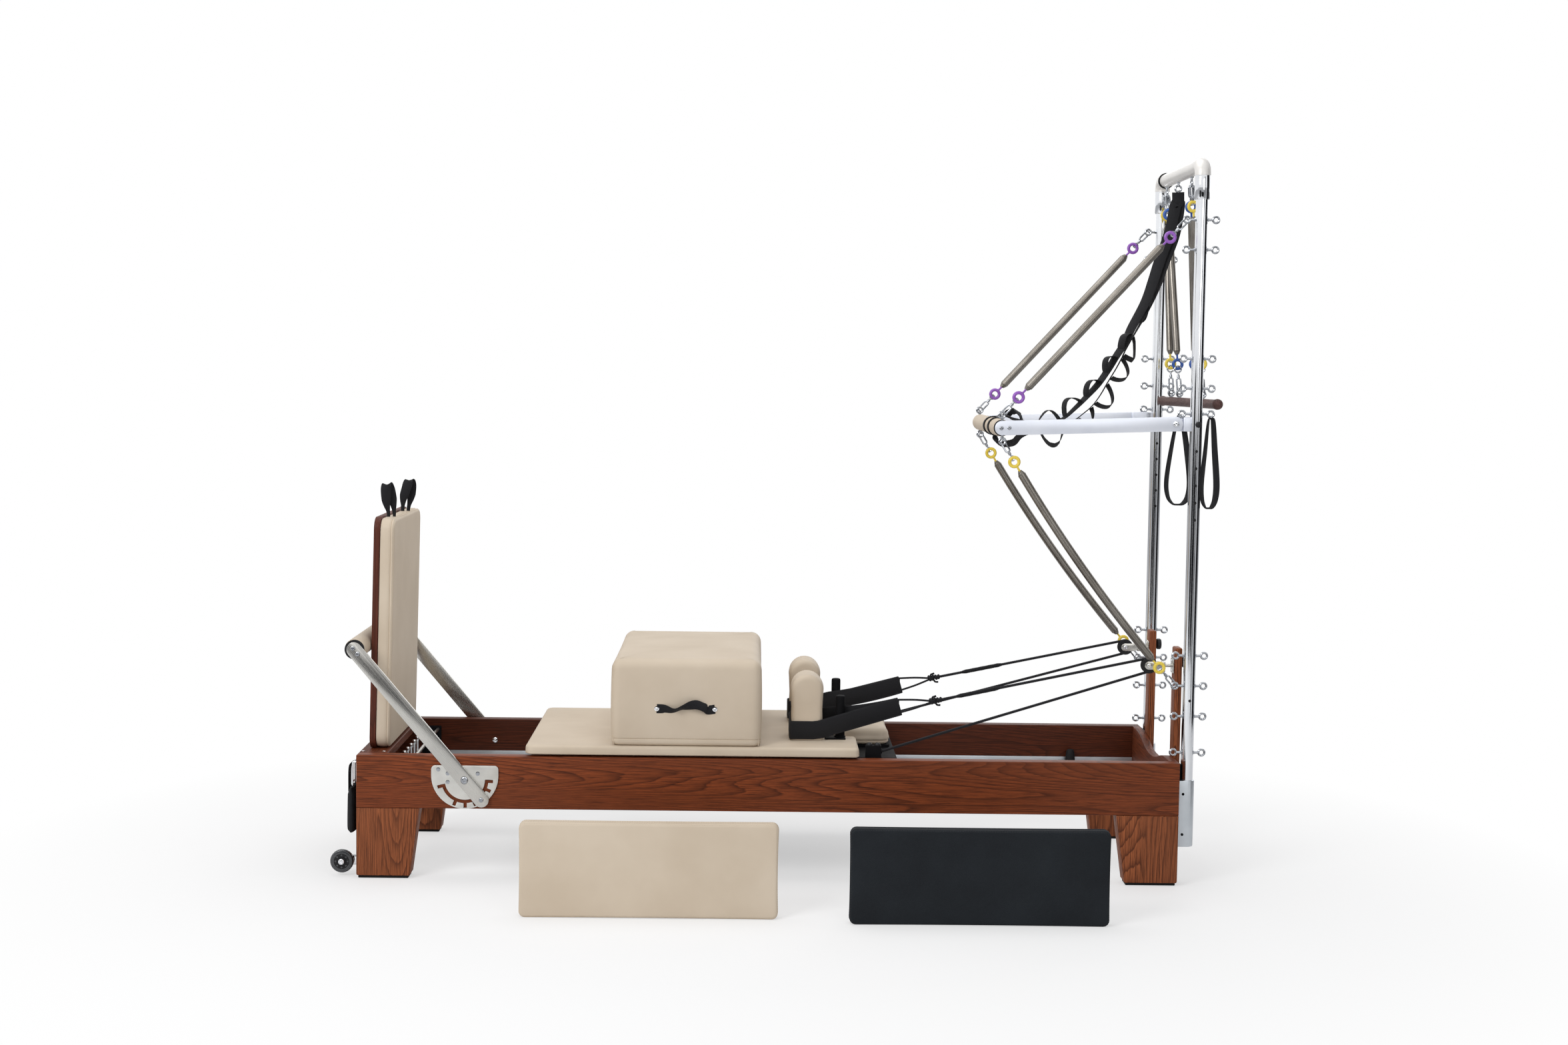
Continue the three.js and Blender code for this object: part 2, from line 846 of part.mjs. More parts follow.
function legSlant() {
  return ((legTopWidth - legFootWidth) * legCornerRadius) / (railBottom - footPadHeight);
}

function headLeg(side) {
  return legSolid(side, 1);
}

// The foot leg carries the arm and the axle of its transport wheel
function footLeg(side) {
  const wheelPlace = -halfLength - transportReach;
  const wheelSide = side.y * (halfWidth - legDepth / 2);
  const inner = wheelSide - side.y * (transportWidth / 2 + runningGap + transportHubOverhang);
  const armOuter = inner - side.y * transportArmThickness;
  const armHalf = transportArmHeight / 2;
  const arm = block(
    at(wheelPlace - transportArmNose, Math.min(inner, armOuter), transportAxleHeight - armHalf),
    at(-halfLength + overrun, Math.max(inner, armOuter), transportAxleHeight + armHalf),
  );
  const outer = wheelSide + side.y * (transportWidth / 2 + transportHubOverhang + runningGap);
  const axle = rod(
    at(wheelPlace, inner - side.y * overrun, transportAxleHeight),
    at(wheelPlace, outer + side.y * overrun, transportAxleHeight),
    transportAxleRadius,
  );
  const head = rod(
    at(wheelPlace, outer, transportAxleHeight),
    at(wheelPlace, outer + side.y * transportHeadThickness, transportAxleHeight),
    transportHeadRadius,
  );
  return legSolid(side, -1).add(joined([arm, axle, head]));
}

// The platform with the board under it, and the hook with the pouch that hangs from it
function footEndBoard() {
  const under = block(
    at(-halfLength, -boardSide, railBottom),
    at(-halfLength + boardThickness, boardSide, frameTop - boardThickness + overrun),
  );
  const platform = block(
    at(-halfLength, -boardSide, frameTop - boardThickness),
    at(-halfLength + platformWidth, boardSide, frameTop),
  );
  const hang = -halfLength - pouchStandOff - pouchDepth / 2;
  const hook = rod(
    at(-halfLength + overrun, pouchSide, hookHeight),
    at(hang, pouchSide, hookHeight),
    hookRadius,
  );
  const cord = rod(
    at(hang, pouchSide, hookHeight + hookRadius),
    at(hang, pouchSide, pouchTop - pouchDepth / 2),
    hookRadius,
  );
  const pouch = cushion(pouchHeight, pouchWidth, pouchDepth, pouchCornerRadius, pouchEdge, pouchCrown);
  pouch.rotateY(-Math.PI / 2);
  pouch.translate(hang + pouchDepth / 2, pouchSide, pouchTop - pouchHeight / 2);
  return joined([under, platform, hook, cord, pouch]);
}

function headEndPanel() {
  const panel = block(
    at(halfLength - boardThickness, -boardSide, railBottom),
    at(halfLength, boardSide, frameTop),
  );
  const shape = new THREE.Shape();
  shape.moveTo(-scoopHalfWidth, frameTop + overrun);
  shape.bezierCurveTo(
    -scoopHalfWidth / 2,
    frameTop,
    -scoopHalfWidth / 2,
    frameTop - scoopDepth,
    0,
    frameTop - scoopDepth,
  );
  shape.bezierCurveTo(
    scoopHalfWidth / 2,
    frameTop - scoopDepth,
    scoopHalfWidth / 2,
    frameTop,
    scoopHalfWidth,
    frameTop + overrun,
  );
  const scoop = plate(shape, -boardThickness - overrun, overrun).rotateZ(-Math.PI / 2);
  scoop.translate(halfLength, 0, 0);
  return cut(joined([panel]), [scoop]);
}

// A bar along the inner face of a rail, with the rubber stops of the carriage
function track(side) {
  const outer = railInner - seam;
  const end = halfLength - boardThickness - seam;
  const bar = sideBlock(side, trackStart, end, outer - trackReach, outer, trackBottom, trackTopFace);
  const stops = [headStopPlace, carriageFront - seam - stopLength].map((place) =>
    sideBlock(
      side,
      place,
      place + stopLength,
      outer - stopDepth,
      outer,
      trackTopFace - overrun,
      trackTopFace + stopHeight,
    ),
  );
  return joined([bar, ...stops]);
}

// Spring bar
function addSpringBar(parent) {
  const bar = block(
    at(pegPlace - springBarWidth / 2, -boardSide, springBarBottom),
    at(pegPlace + springBarWidth / 2, boardSide, springBarBottom + springBarHeight),
  );
  const hangRod = rod(
    at(hangRodPlace, -boardSide, pegHeadHeight),
    at(hangRodPlace, boardSide, pegHeadHeight),
    hangRodRadius,
  );
  const ends = sides.map((side) =>
    sideBlock(
      side,
      pegPlace - springBarWidth / 2,
      hangRodPlace + endPlateMargin,
      boardSide - endPlateThickness,
      boardSide,
      springBarBottom,
      pegHeadHeight + endPlateMargin,
    ),
  );
  const pegs = [];
  for (let peg = 0; peg < pegCount; peg += 1) {
    const y = (peg - (pegCount - 1) / 2) * pegPitch;
    const head = at(pegPlace, y, pegHeadHeight);
    pegs.push(rod(at(pegPlace, y, springBarBottom + overrun), head, pegStemRadius, smallSides));
    pegs.push(ball(head, pegBallRadius));
  }
  piece(parent, "spring_bar", joined([bar, hangRod, ...ends, ...pegs]), steel);
}

// Quadrant plate with its notched slot, and the pivot bolt of the footbar
function quadrantPlate(side) {
  const shape = new THREE.Shape();
  const middle = quadrantTop - quadrantHeight + quadrantRadius;
  const left = footbarPivotPlace - quadrantRadius;
  const right = footbarPivotPlace + quadrantRadius;
  shape.moveTo(right, middle);
  shape.lineTo(right, quadrantTop - quadrantCornerRadius);
  shape.quadraticCurveTo(right, quadrantTop, right - quadrantCornerRadius, quadrantTop);
  shape.lineTo(left + quadrantCornerRadius, quadrantTop);
  shape.quadraticCurveTo(left, quadrantTop, left, quadrantTop - quadrantCornerRadius);
  shape.lineTo(left, middle);
  shape.absarc(footbarPivotPlace, middle, quadrantRadius, Math.PI, 2 * Math.PI);
  const low = Math.min(side.y * platePlane, side.y * (platePlane + quadrantThickness));
  const body = joined([plate(shape, low, low + quadrantThickness)]);
  const slot = new THREE.Shape();
  const first = radians(notchAngles[notchAngles.length - 1]);
  const last = radians(notchAngles[0]);
  slot.absarc(footbarPivotPlace, footbarPivotHeight, slotOuterRadius, first, last);
  slot.absarc(footbarPivotPlace, footbarPivotHeight, slotInnerRadius, last, first, true);
  const cuts = [plate(slot, low - overrun, low + quadrantThickness + overrun)];
  for (const angle of notchAngles) {
    const notch = block(
      at(slotInnerRadius, low - overrun, -notchWidth / 2),
      at(notchReach, low + quadrantThickness + overrun, notchWidth / 2),
    );
    notch.rotateY(-radians(angle)).translate(footbarPivotPlace, 0, footbarPivotHeight);
    cuts.push(notch);
  }
  const boltInner = side.y * (platePlane + overrun);
  const boltOuter = side.y * (armPlane + footbarArmThickness + runningGap);
  const bolt = rod(
    at(footbarPivotPlace, boltInner, footbarPivotHeight),
    at(footbarPivotPlace, boltOuter + side.y * overrun, footbarPivotHeight),
    pivotBoltRadius,
  );
  const head = rod(
    at(footbarPivotPlace, boltOuter, footbarPivotHeight),
    at(footbarPivotPlace, boltOuter + side.y * pivotHeadThickness, footbarPivotHeight),
    pivotHeadRadius,
  );
  return cut(body, cuts).add(joined([bolt, head]));
}

// Footbar: a flat arm on each side and the padded roll between them, built along +X
function addFootbar(parent) {
  for (const side of sides) piece(parent, side.name + "_quadrant_plate", quadrantPlate(side), steel);
  const bar = new THREE.Group();
  bar.position.set(footbarPivotPlace, 0, footbarPivotHeight);
  bar.rotation.y = -radians(footbarAngle);
  parent.add(bar);
  for (const side of sides) piece(bar, side.name + "_footbar_arm", footbarArm(side), steel);
  const rollEnd = armPlane - seam;
  const roll = rod(at(footbarReach, -rollEnd, 0), at(footbarReach, rollEnd, 0), rollRadius, tubeSides);
  piece(bar, "footbar_roll", joined([roll]), cream);
}

function footbarArm(side) {
  const half = footbarArmWidth / 2;
  const shape = new THREE.Shape();
  shape.absarc(footbarReach, 0, half, -Math.PI / 2, Math.PI / 2);
  shape.absarc(-footbarPinReach, 0, half, Math.PI / 2, 1.5 * Math.PI);
  const low = Math.min(side.y * armPlane, side.y * (armPlane + footbarArmThickness));
  const body = joined([plate(shape, low, low + footbarArmThickness)]);
  const bore = rod(
    at(0, low - overrun, 0),
    at(0, low + footbarArmThickness + overrun, 0),
    pivotBoltRadius + runningGap,
    boreSides,
  );
  const outer = side.y * (armPlane + footbarArmThickness);
  const pin = rod(
    at(-footbarPinReach, outer - side.y * overrun, 0),
    at(-footbarPinReach, outer + side.y * pinHeadThickness, 0),
    pinHeadRadius,
  );
  return cut(body, [bore]).add(joined([pin]));
}

// Sockets, uprights and crossbar
function addTower(parent) {
  for (const side of sides) {
    piece(parent, side.name + "_socket", socket(side), paleMetal);
    piece(parent, side.name + "_upright", upright(side), chrome);
  }
  piece(parent, "top_crossbar", topCrossbar(), paleMetal);
}

function socket(side) {
  const start = halfLength + seam;
  const y = side.y * uprightSide;
  const low = y - socketWidth / 2;
  const body = block(at(start, low, socketBottom), at(start + socketDepth, low + socketWidth, socketTop));
  const spacer = block(
    at(start, y - spacerWidth / 2, socketTop - overrun),
    at(uprightPlace - uprightRadius - seam, y + spacerWidth / 2, frameTop - spacerTopDrop),
  );
  const bore = rod(
    at(uprightPlace, y, socketBottom + socketFloor),
    at(uprightPlace, y, frameTop),
    uprightRadius + seam,
    tubeSides,
  );
  return cut(joined([body, spacer]), [bore]);
}

// An upright with its collar, its eyebolts and the bracket that carries the push-through bar
function upright(side) {
  const y = side.y * uprightSide;
  const tube = rod(
    at(uprightPlace, y, socketBottom + socketFloor + seam),
    at(uprightPlace, y, uprightTop + overrun),
    uprightRadius,
    tubeSides,
  );
  const collar = rod(
    at(uprightPlace, y, uprightTop),
    at(uprightPlace, y, collarTop),
    collarRadius,
    tubeSides,
  );
  const eyes = eyeHeights.flatMap((height) =>
    [-1, 1].flatMap((way) => [
      rod(
        at(uprightPlace, y, height),
        at(uprightPlace + way * (eyeReach - eyeRingRadius), y, height),
        eyeWireRadius,
        eyeWireSides,
      ),
      eyeRing(at(uprightPlace + way * eyeReach, y, height)),
    ]),
  );
  return joined([tube, collar, ...eyes, ...pushBracket(side)]);
}

function pushBracket(side) {
  const y = side.y * uprightSide;
  const half = pushArmHeight / 2;
  const armHalf = pushArmThickness / 2;
  const inner = y - side.y * (armHalf + runningGap);
  const tongueInner = inner - side.y * tongueThickness;
  const armOuter = y + side.y * armHalf;
  const saddle = block(
    at(pushPivotPlace + half + runningGap, Math.min(tongueInner, armOuter), pushPivotHeight - half),
    at(uprightPlace, Math.max(tongueInner, armOuter), pushPivotHeight + half),
  );
  const tongue = block(
    at(pushPivotPlace - half, Math.min(inner, tongueInner), pushPivotHeight - half),
    at(uprightPlace, Math.max(inner, tongueInner), pushPivotHeight + half),
  );
  const headStart = y + side.y * (armHalf + runningGap);
  const bolt = rod(
    at(pushPivotPlace, inner - side.y * overrun, pushPivotHeight),
    at(pushPivotPlace, headStart + side.y * overrun, pushPivotHeight),
    pushBoltRadius,
  );
  const head = rod(
    at(pushPivotPlace, headStart, pushPivotHeight),
    at(pushPivotPlace, headStart + side.y * pushBoltHeadThickness, pushPivotHeight),
    pushBoltHeadRadius,
  );
  const pinEnd = y + side.y * pullPinReach;
  const pin = rod(
    at(uprightPlace, y, pushPivotHeight),
    at(uprightPlace, pinEnd, pushPivotHeight),
    pullPinRadius,
  );
  const knob = rod(
    at(uprightPlace, pinEnd - side.y * overrun, pushPivotHeight),
    at(uprightPlace, pinEnd + side.y * pullKnobLength, pushPivotHeight),
    pullKnobRadius,
  );
  return [saddle, tongue, bolt, head, pin, knob];
}

// The top tube turns down into the two collars and carries three hanging eyebolts
function topCrossbar() {
  const half = [];
  const bendStart = uprightSide - elbowRadius;
  const bendTop = crossbarHeight - elbowRadius;
  half.push(at(uprightPlace, uprightSide, collarTop + seam));
  for (let step = 0; step <= arcSteps; step += 1) {
    const angle = (step / arcSteps) * (Math.PI / 2);
    const y = bendStart + elbowRadius * Math.cos(angle);
    half.push(at(uprightPlace, y, bendTop + elbowRadius * Math.sin(angle)));
  }
  const route = [...half, ...half.map((point) => at(point.x, -point.y, point.z)).reverse()];
  const tube = ringedSolid(tubeRings(route, crossbarRadius, tubeSides));
  const eyes = crossbarEyePlaces.flatMap((y, index) => {
    const ring = at(uprightPlace, y, crossbarHeight - crossbarEyeDrop);
    const reach = hangerSplay + springWireRadius + hangerOverhang;
    const low = ring.z - eyeRingRadius;
    const high = ring.z + eyeRingRadius;
    const hanger = rod(at(ring.x, y - reach, low), at(ring.x, y + reach, low), eyeWireRadius, smallSides);
    const stem = rod(at(ring.x, y, crossbarHeight), at(ring.x, y, high), eyeWireRadius, eyeWireSides);
    return index === 1 ? [stem, eyeRing(ring)] : [stem, eyeRing(ring), hanger];
  });
  return joined([tube, ...eyes]);
}

// Push-through bar, built level along -X from its pivot and tilted down as a group
function addPushBar(parent) {
  const bar = new THREE.Group();
  bar.position.set(pushPivotPlace, 0, pushPivotHeight);
  bar.rotation.y = -radians(pushTiltAngle);
  parent.add(bar);
  const half = pushArmHeight / 2;
  for (const side of sides) {
    const shape = new THREE.Shape();
    shape.absarc(0, 0, half, -Math.PI / 2, Math.PI / 2);
    shape.absarc(-pushReach, 0, half, Math.PI / 2, 1.5 * Math.PI);
    const y = side.y * uprightSide;
    const low = y - pushArmThickness / 2;
    const body = joined([plate(shape, low, low + pushArmThickness)]);
    const bore = rod(
      at(0, low - overrun, 0),
      at(0, low + pushArmThickness + overrun, 0),
      pushBoltRadius + runningGap,
      boreSides,
    );
    const eyes = [-1, 1].flatMap((way) => {
      const stemEnd = at(-pushReach, y, way * (pushEyeReach - eyeRingRadius));
      const stem = rod(at(-pushReach, y, 0), stemEnd, eyeWireRadius, eyeWireSides);
      return [stem, eyeRing(at(-pushReach, y, way * pushEyeReach))];
    });
    piece(bar, side.name + "_push_arm", cut(body, [bore]).add(joined(eyes)), paleMetal);
  }
  const gripEnd = uprightSide - pushArmThickness / 2 - seam;
  const grip = rod(at(-pushReach, -gripEnd, 0), at(-pushReach, gripEnd, 0), pushGripRadius, tubeSides);
  piece(bar, "push_bar_grip", joined([grip]), cream);
}

// A place in the push-through bar's own frame, as it lies in the whole object
function onPushBar(x, y, z) {
  const place = at(x, y, z).applyAxisAngle(at(0, 1, 0), -radians(pushTiltAngle));
  return place.add(at(pushPivotPlace, 0, pushPivotHeight));
}

// The two points between two eyes where a spring starts and ends
function betweenEyes(from, to) {
  const along = new THREE.Vector3().subVectors(to, from).normalize();
  const back = along.clone().negate();
  const start = from.clone().addScaledVector(along, eyeEdge(along));
  const end = to.clone().addScaledVector(back, eyeEdge(back));
  return [start, end];
}

function addSprings(parent) {
  for (const side of sides) {
    const y = side.y * uprightSide;
    const eyePlace = uprightPlace - eyeReach;
    const upperEye = at(eyePlace, y, eyeHeights[eyeHeights.length - 1]);
    const upper = betweenEyes(onPushBar(-pushReach, y, pushEyeReach), upperEye);
    piece(parent, side.name + "_upper_push_spring", solid(spring(...upper, springStub)), springSteel);
    const lowerEye = at(eyePlace, y, eyeHeights[lowerSpringEye]);
    const lower = betweenEyes(onPushBar(-pushReach, y, -pushEyeReach), lowerEye);
    const bowed = solid(spring(...lower, springStub, lowerSpringBow));
    piece(parent, side.name + "_lower_push_spring", bowed, springSteel);
  }
  ["near_outer", "near_inner", "far_inner", "far_outer"].forEach((name, index) => {
    const hang = index < 2 ? crossbarEyePlaces[0] : crossbarEyePlaces[2];
    const splay = index % 2 ? hangerSplay : -hangerSplay;
    const top = at(uprightPlace, hang + splay, crossbarHeight - crossbarEyeDrop - eyeRingRadius);
    const bottom = onRollBar(rollBarEyePlaces[index], rollBarEyeRise);
    const [low] = betweenEyes(bottom, top);
    const rise = new THREE.Vector3().subVectors(top, bottom).normalize();
    const high = top.clone().addScaledVector(rise, -eyeWireRadius - eyeGap);
    piece(parent, name + "_roll_spring", solid(spring(low, high, springStub)), springSteel);
  });
}

// A place along the skewed roll-down bar, raised above its axis
function onRollBar(along, rise) {
  const place = at(0, along, rise).applyAxisAngle(at(0, 0, 1), radians(rollBarSkewAngle));
  return place.add(at(uprightPlace + rollBarOffset, rollBarShift, pushPivotHeight + rollBarRise));
}

function addRollBar(parent) {
  const ends = [-1, 1].map((way) => onRollBar(way * rollBarHalfLength, 0));
  const bar = rod(...ends, rollBarRadius, tubeSides);
  const balls = ends.map((end) => ball(end, rollBarBallRadius));
  const eyes = rollBarEyePlaces.flatMap((along) => [
    rod(onRollBar(along, 0), onRollBar(along, rollBarEyeRise - eyeRingRadius), eyeWireRadius, eyeWireSides),
    eyeRing(onRollBar(along, rollBarEyeRise)),
  ]);
  piece(parent, "roll_down_bar", joined([bar, ...balls, ...eyes]), darkWood);
}

// Two hand loops on the near upright: one below its eye, one hooked into its eye from behind
function addHandLoops(parent) {
  const eyeHeight = eyeHeights[loopEye];
  const below = eyeEdge(down) + loopStrapThickness / 2;
  const inEye = eyeInner - loopHookRadius - eyeGap;
  const hook = rod(
    at(0, -uprightSide - loopHookRadius - loopHookOverhang - innerLoopSide, 0),
    at(0, loopStrapWidth / 2, 0),
    loopHookRadius,
    smallSides,
  );
  const outer = piece(parent, "outer_hand_loop", solid(handLoop(outerLoopHalfWidth)), webbing);
  outer.position.set(uprightPlace + eyeReach, -uprightSide - outerLoopOutset, eyeHeight - below);
  const inner = piece(parent, "inner_hand_loop", joined([handLoop(innerLoopHalfWidth), hook]), webbing);
  inner.position.set(uprightPlace - eyeReach, innerLoopSide, eyeHeight - inEye);
}

function handLoop(halfWidth) {
  const corners = [
    new THREE.Vector2(-loopTopHalfWidth, 0),
    new THREE.Vector2(-halfWidth, -loopHeight),
    new THREE.Vector2(halfWidth, -loopHeight),
    new THREE.Vector2(loopTopHalfWidth, 0),
  ];
  const strap = strapLoop(roundedLoop(corners, loopCornerRadius), loopStrapThickness, loopStrapWidth);
  return strap.rotateX(Math.PI / 2).translate(0, loopStrapWidth / 2, 0);
}

// Two long looped straps: from the middle eye of the crossbar down to the near push arm
function addDaisyStraps(parent) {
  const top = at(uprightPlace, crossbarEyePlaces[1], crossbarHeight - crossbarEyeDrop);
  const foot = at(pushPivotPlace - pushReach, -uprightSide + daisyInset, pushPivotHeight);
  const start = top.clone().addScaledVector(down, eyeEdge(down));
  const straps = [daisyFirstShares, daisySecondShares].map((table) => {
    const path = table.map(([x, y, z]) =>
      at(
        foot.x + x * (top.x - foot.x),
        foot.y + y * (top.y - foot.y),
        foot.z + z * (top.z - foot.z),
      ),
    );
    const hang = start.clone().addScaledVector(down, daisyWidth);
    return flatStrap([start, hang, ...path], at(1, 0, 0), daisyWidth, daisyThickness);
  });
  piece(parent, "daisy_straps", joined(straps), webbing);
}

// Risers with the rope pulleys
function addRisers(parent) {
  for (const side of sides) {
    const y = side.y * riserSide;
    const start = halfLength + seam;
    const post = block(
      at(start, y - riserWidth / 2, riserBottom),
      at(start + riserThickness, y + riserWidth / 2, riserTop),
    );
    const knob = rod(
      at(start + riserThickness - overrun, y, pulleyHeight + knobRadius),
      at(start + riserThickness + knobLength, y, pulleyHeight + knobRadius),
      knobRadius,
    );
    piece(parent, side.name + "_riser", joined([post, knob]), wood);
    piece(parent, side.name + "_pulley_block", pulleyBlock(y), steel);
    const sheave = piece(parent, side.name + "_pulley_sheave", sheaveSolid(), black);
    sheave.position.set(pulleyPlace, y, pulleyHeight);
  }
}

function pulleyBlock(y) {
  const inner = sheaveWidth / 2 + runningGap;
  const cheeks = [-1, 1].map((way) => {
    const low = Math.min(way * inner, way * (inner + cheekThickness));
    return block(
      at(pulleyPlace - cheekNose, y + low, pulleyHeight - cheekHalfHeight),
      at(pulleyPlace + swivelStart + overrun, y + low + cheekThickness, pulleyHeight + cheekHalfHeight),
    );
  });
  const outer = inner + cheekThickness;
  const axle = rod(
    at(pulleyPlace, y - outer, pulleyHeight),
    at(pulleyPlace, y + outer, pulleyHeight),
    pulleyAxleRadius,
  );
  const neck = block(
    at(pulleyPlace + swivelStart, y - outer, pulleyHeight - cheekHalfHeight),
    at(pulleyPlace + swivelStart + swivelBlock, y + outer, pulleyHeight + cheekHalfHeight),
  );
  const swivel = rod(
    at(pulleyPlace + swivelStart + swivelBlock - overrun, y, pulleyHeight),
    at(halfLength - overrun, y, pulleyHeight),
    swivelRadius,
  );
  const plateHalf = bracketPlateHeight / 2;
  const mount = block(
    at(halfLength - bracketPlateThickness, y - bracketPlateWidth / 2, pulleyHeight - plateHalf),
    at(halfLength, y + bracketPlateWidth / 2, pulleyHeight + plateHalf),
  );
  return joined([...cheeks, axle, neck, swivel, mount]);
}

// A grooved wheel whose groove just holds the rope
function wheelProfile(bore, outer, groove, width) {
  const half = width / 2;
  const hold = ropeRadius + seam + runningGap;
  const points = [
    [bore, -half],
    [outer, -half],
    [outer, -hold - seam],
    [groove, -hold],
    [groove, hold],
    [outer, hold + seam],
    [outer, half],
    [bore, half],
    [bore, -half],
  ];
  return points.map(([x, y]) => new THREE.Vector2(x, y));
}

function sheaveSolid() {
  const profile = wheelProfile(pulleyAxleRadius + runningGap, sheaveRadius, grooveRadius, sheaveWidth);
  return solid(new THREE.LatheGeometry(profile, boreSides));
}

function addTransportWheels(parent) {
  const bore = transportAxleRadius + runningGap;
  const half = transportWidth / 2;
  const shoulder = half - transportHubOverhang;
  const profile = [
    [bore, -half - transportHubOverhang],
    [transportHubRadius, -half - transportHubOverhang],
    [transportHubRadius, -shoulder],
    [transportRadius - transportTreadRound, -shoulder],
    [transportRadius, -shoulder / 2],
    [transportRadius, shoulder / 2],
    [transportRadius - transportTreadRound, shoulder],
    [transportHubRadius, shoulder],
    [transportHubRadius, half + transportHubOverhang],
    [bore, half + transportHubOverhang],
    [bore, -half - transportHubOverhang],
  ].map(([x, y]) => new THREE.Vector2(x, y));
  for (const side of sides) {
    const tyre = solid(new THREE.LatheGeometry(profile, tubeSides));
    const wheel = piece(parent, side.name + "_transport_wheel", tyre, black);
    const y = side.y * (halfWidth - legDepth / 2);
    wheel.position.set(-halfLength - transportReach, y, transportAxleHeight);
  }
}

// Carriage
function addCarriage(parent) {
  piece(parent, "carriage_frame", carriageFrame(), black);
  piece(parent, "carriage_pad", carriagePad(), cream);
  piece(parent, "headrest", headrest(), cream);
  for (const side of sides) {
    piece(parent, side.name + "_shoulder_rest", shoulderRest(side), cream);
    piece(parent, side.name + "_strap_post", strapPost(side), black);
    piece(parent, side.name + "_rope", rope(side), webbing);
  }
  axlePlaces.forEach((place, index) => {
    const axle = piece(parent, (index ? "head" : "foot") + "_wheel_axle", wheelAxle(), steel);
    axle.position.set(place, 0, axleHeight);
  });
  piece(parent, "carriage_springs", carriageSprings(), springSteel);
}

// The carriage's body: beams and cross pieces under a board, bored for the axles
function carriageFrame() {
  const half = railInner - carriageSideGap;
  const top = padBottom - seam;
  const beamTop = top - carriageBoard + overrun;
  const beams = sides.map((side) =>
    sideBlock(side, carriageFront, padEnd, half - carriageBeam, half, carriageBottom, beamTop),
  );
  const middle = (carriageFront + padEnd) / 2;
  const crossings = [carriageFront, middle, padEnd - carriageBeam].map((place) =>
    block(at(place, -half, carriageBottom), at(place + carriageBeam, half, beamTop)),
  );
  const board = block(at(carriageFront, -half, top - carriageBoard), at(padEnd, half, top));
  const bores = axlePlaces.map((place) => {
    const ends = [at(place, -halfWidth, axleHeight), at(place, halfWidth, axleHeight)];
    return rod(...ends, axleRadius + runningGap, boreSides);
  });
  return cut(joined([board, ...beams, ...crossings, ...endDeck(), ...carriageHangers(half)]), bores);
}

// The deck past the pad, between the rails, with the headrest's seat and the rope cleats
function endDeck() {
  const top = frameTop - seam;
  const half = railInner - extensionSideGap;
  const deck = block(
    at(padEnd - carriageBeam, -half, top - extensionThickness),
    at(carriageEnd, half, top),
  );
  const bumperStart = carriageEnd - extensionThickness;
  const bumper = block(
    at(bumperStart, -half, top - bumperHeight),
    at(carriageEnd, half, top - overrun),
  );
  const headSeat = block(
    at(headrestStart, -headrestHalfWidth, top - overrun),
    at(bumperStart, headrestHalfWidth, headrestBottom - seam),
  );
  const cleats = sides.map((side) =>
    sideBlock(
      side,
      cleatPlace,
      cleatPlace + cleatLength,
      cleatSide - cleatWidth / 2,
      cleatSide + cleatWidth / 2,
      top - overrun,
      top + cleatHeight,
    ),
  );
  return [deck, bumper, headSeat, ...cleats];
}

// Hangers that carry the axles, and the feet that meet the stops
function carriageHangers(half) {
  const hangers = axlePlaces.flatMap((place) =>
    sides.map((side) =>
      sideBlock(
        side,
        place - carriageBeam / 2,
        place + carriageBeam / 2,
        half - carriageBeam / 2,
        half,
        axleHeight - axleRadius * 2,
        carriageBottom + overrun,
      ),
    ),
  );
  const feet = sides.map((side) =>
    sideBlock(
      side,
      carriageFront,
      carriageFront + carriageBeam,
      half - carriageBeam,
      railInner - seam - stopDepth / 2,
      carriageBottom,
      carriageBottom + carriageBeam,
    ),
  );
  return [...hangers, ...feet];
}

function carriagePad() {
  const pad = cushion(padLength, frameWidth, padThickness, padCornerRadius, padEdge, padCrown, padFlatShare);
  pad.translate((padEnd + padFront) / 2, 0, padBottom);
  const gap = headrestHalfWidth + softGap;
  const notch = block(
    at(headrestStart - softGap, -gap, padBottom - overrun),
    at(padEnd + overrun, gap, padTop + overrun),
  );
  return cut(solid(pad), [notch]);
}

function headrest() {
  const width = 2 * headrestHalfWidth;
  const pad = cushion(headrestLength, width, headrestThickness, headrestCornerRadius, headrestEdge, headrestCrown);
  pad.translate(headrestStart + headrestLength / 2, 0, headrestBottom);
  return solid(pad);
}

// A shoulder rest stands on the pad: round top, drawn-in sides, soft edges round both faces
function shoulderRest(side) {
  const half = shoulderWidth / 2;
  const arcCentre = shoulderHeight - half;
  const outline = [at(half, 0, 0), at(half - shoulderDrawIn, 0, arcCentre / 2)];
  const steps = 2 * smallSides;
  for (let step = 0; step <= steps; step += 1) {
    const angle = (step / steps) * Math.PI;
    outline.push(at(half * Math.cos(angle), 0, arcCentre + half * Math.sin(angle)));
  }
  outline.push(at(-half + shoulderDrawIn, 0, arcCentre / 2), at(-half, 0, 0));
  const levels = [
    [0, shoulderEdge],
    [shoulderEdge * bevelShare, shoulderEdge * bevelShare],
    [shoulderEdge, 0],
    [shoulderThickness - shoulderEdge, 0],
    [shoulderThickness - shoulderEdge * bevelShare, shoulderEdge * bevelShare],
    [shoulderThickness, shoulderEdge],
  ];
  const rings = levels.map(([y, inset]) => {
    const scale = (half - inset) / half;
    return outline.map((point) => {
      const z = point.z < arcCentre ? point.z : arcCentre + (point.z - arcCentre) * scale;
      return at(point.x * scale, y, z);
    });
  });
  const rest = ringedSolid(rings.reverse());
  const low = side.y < 0 ? -shoulderInner - shoulderThickness : shoulderInner;
  rest.translate(shoulderStart + half, low, padTop + seam);
  return solid(rest);
}

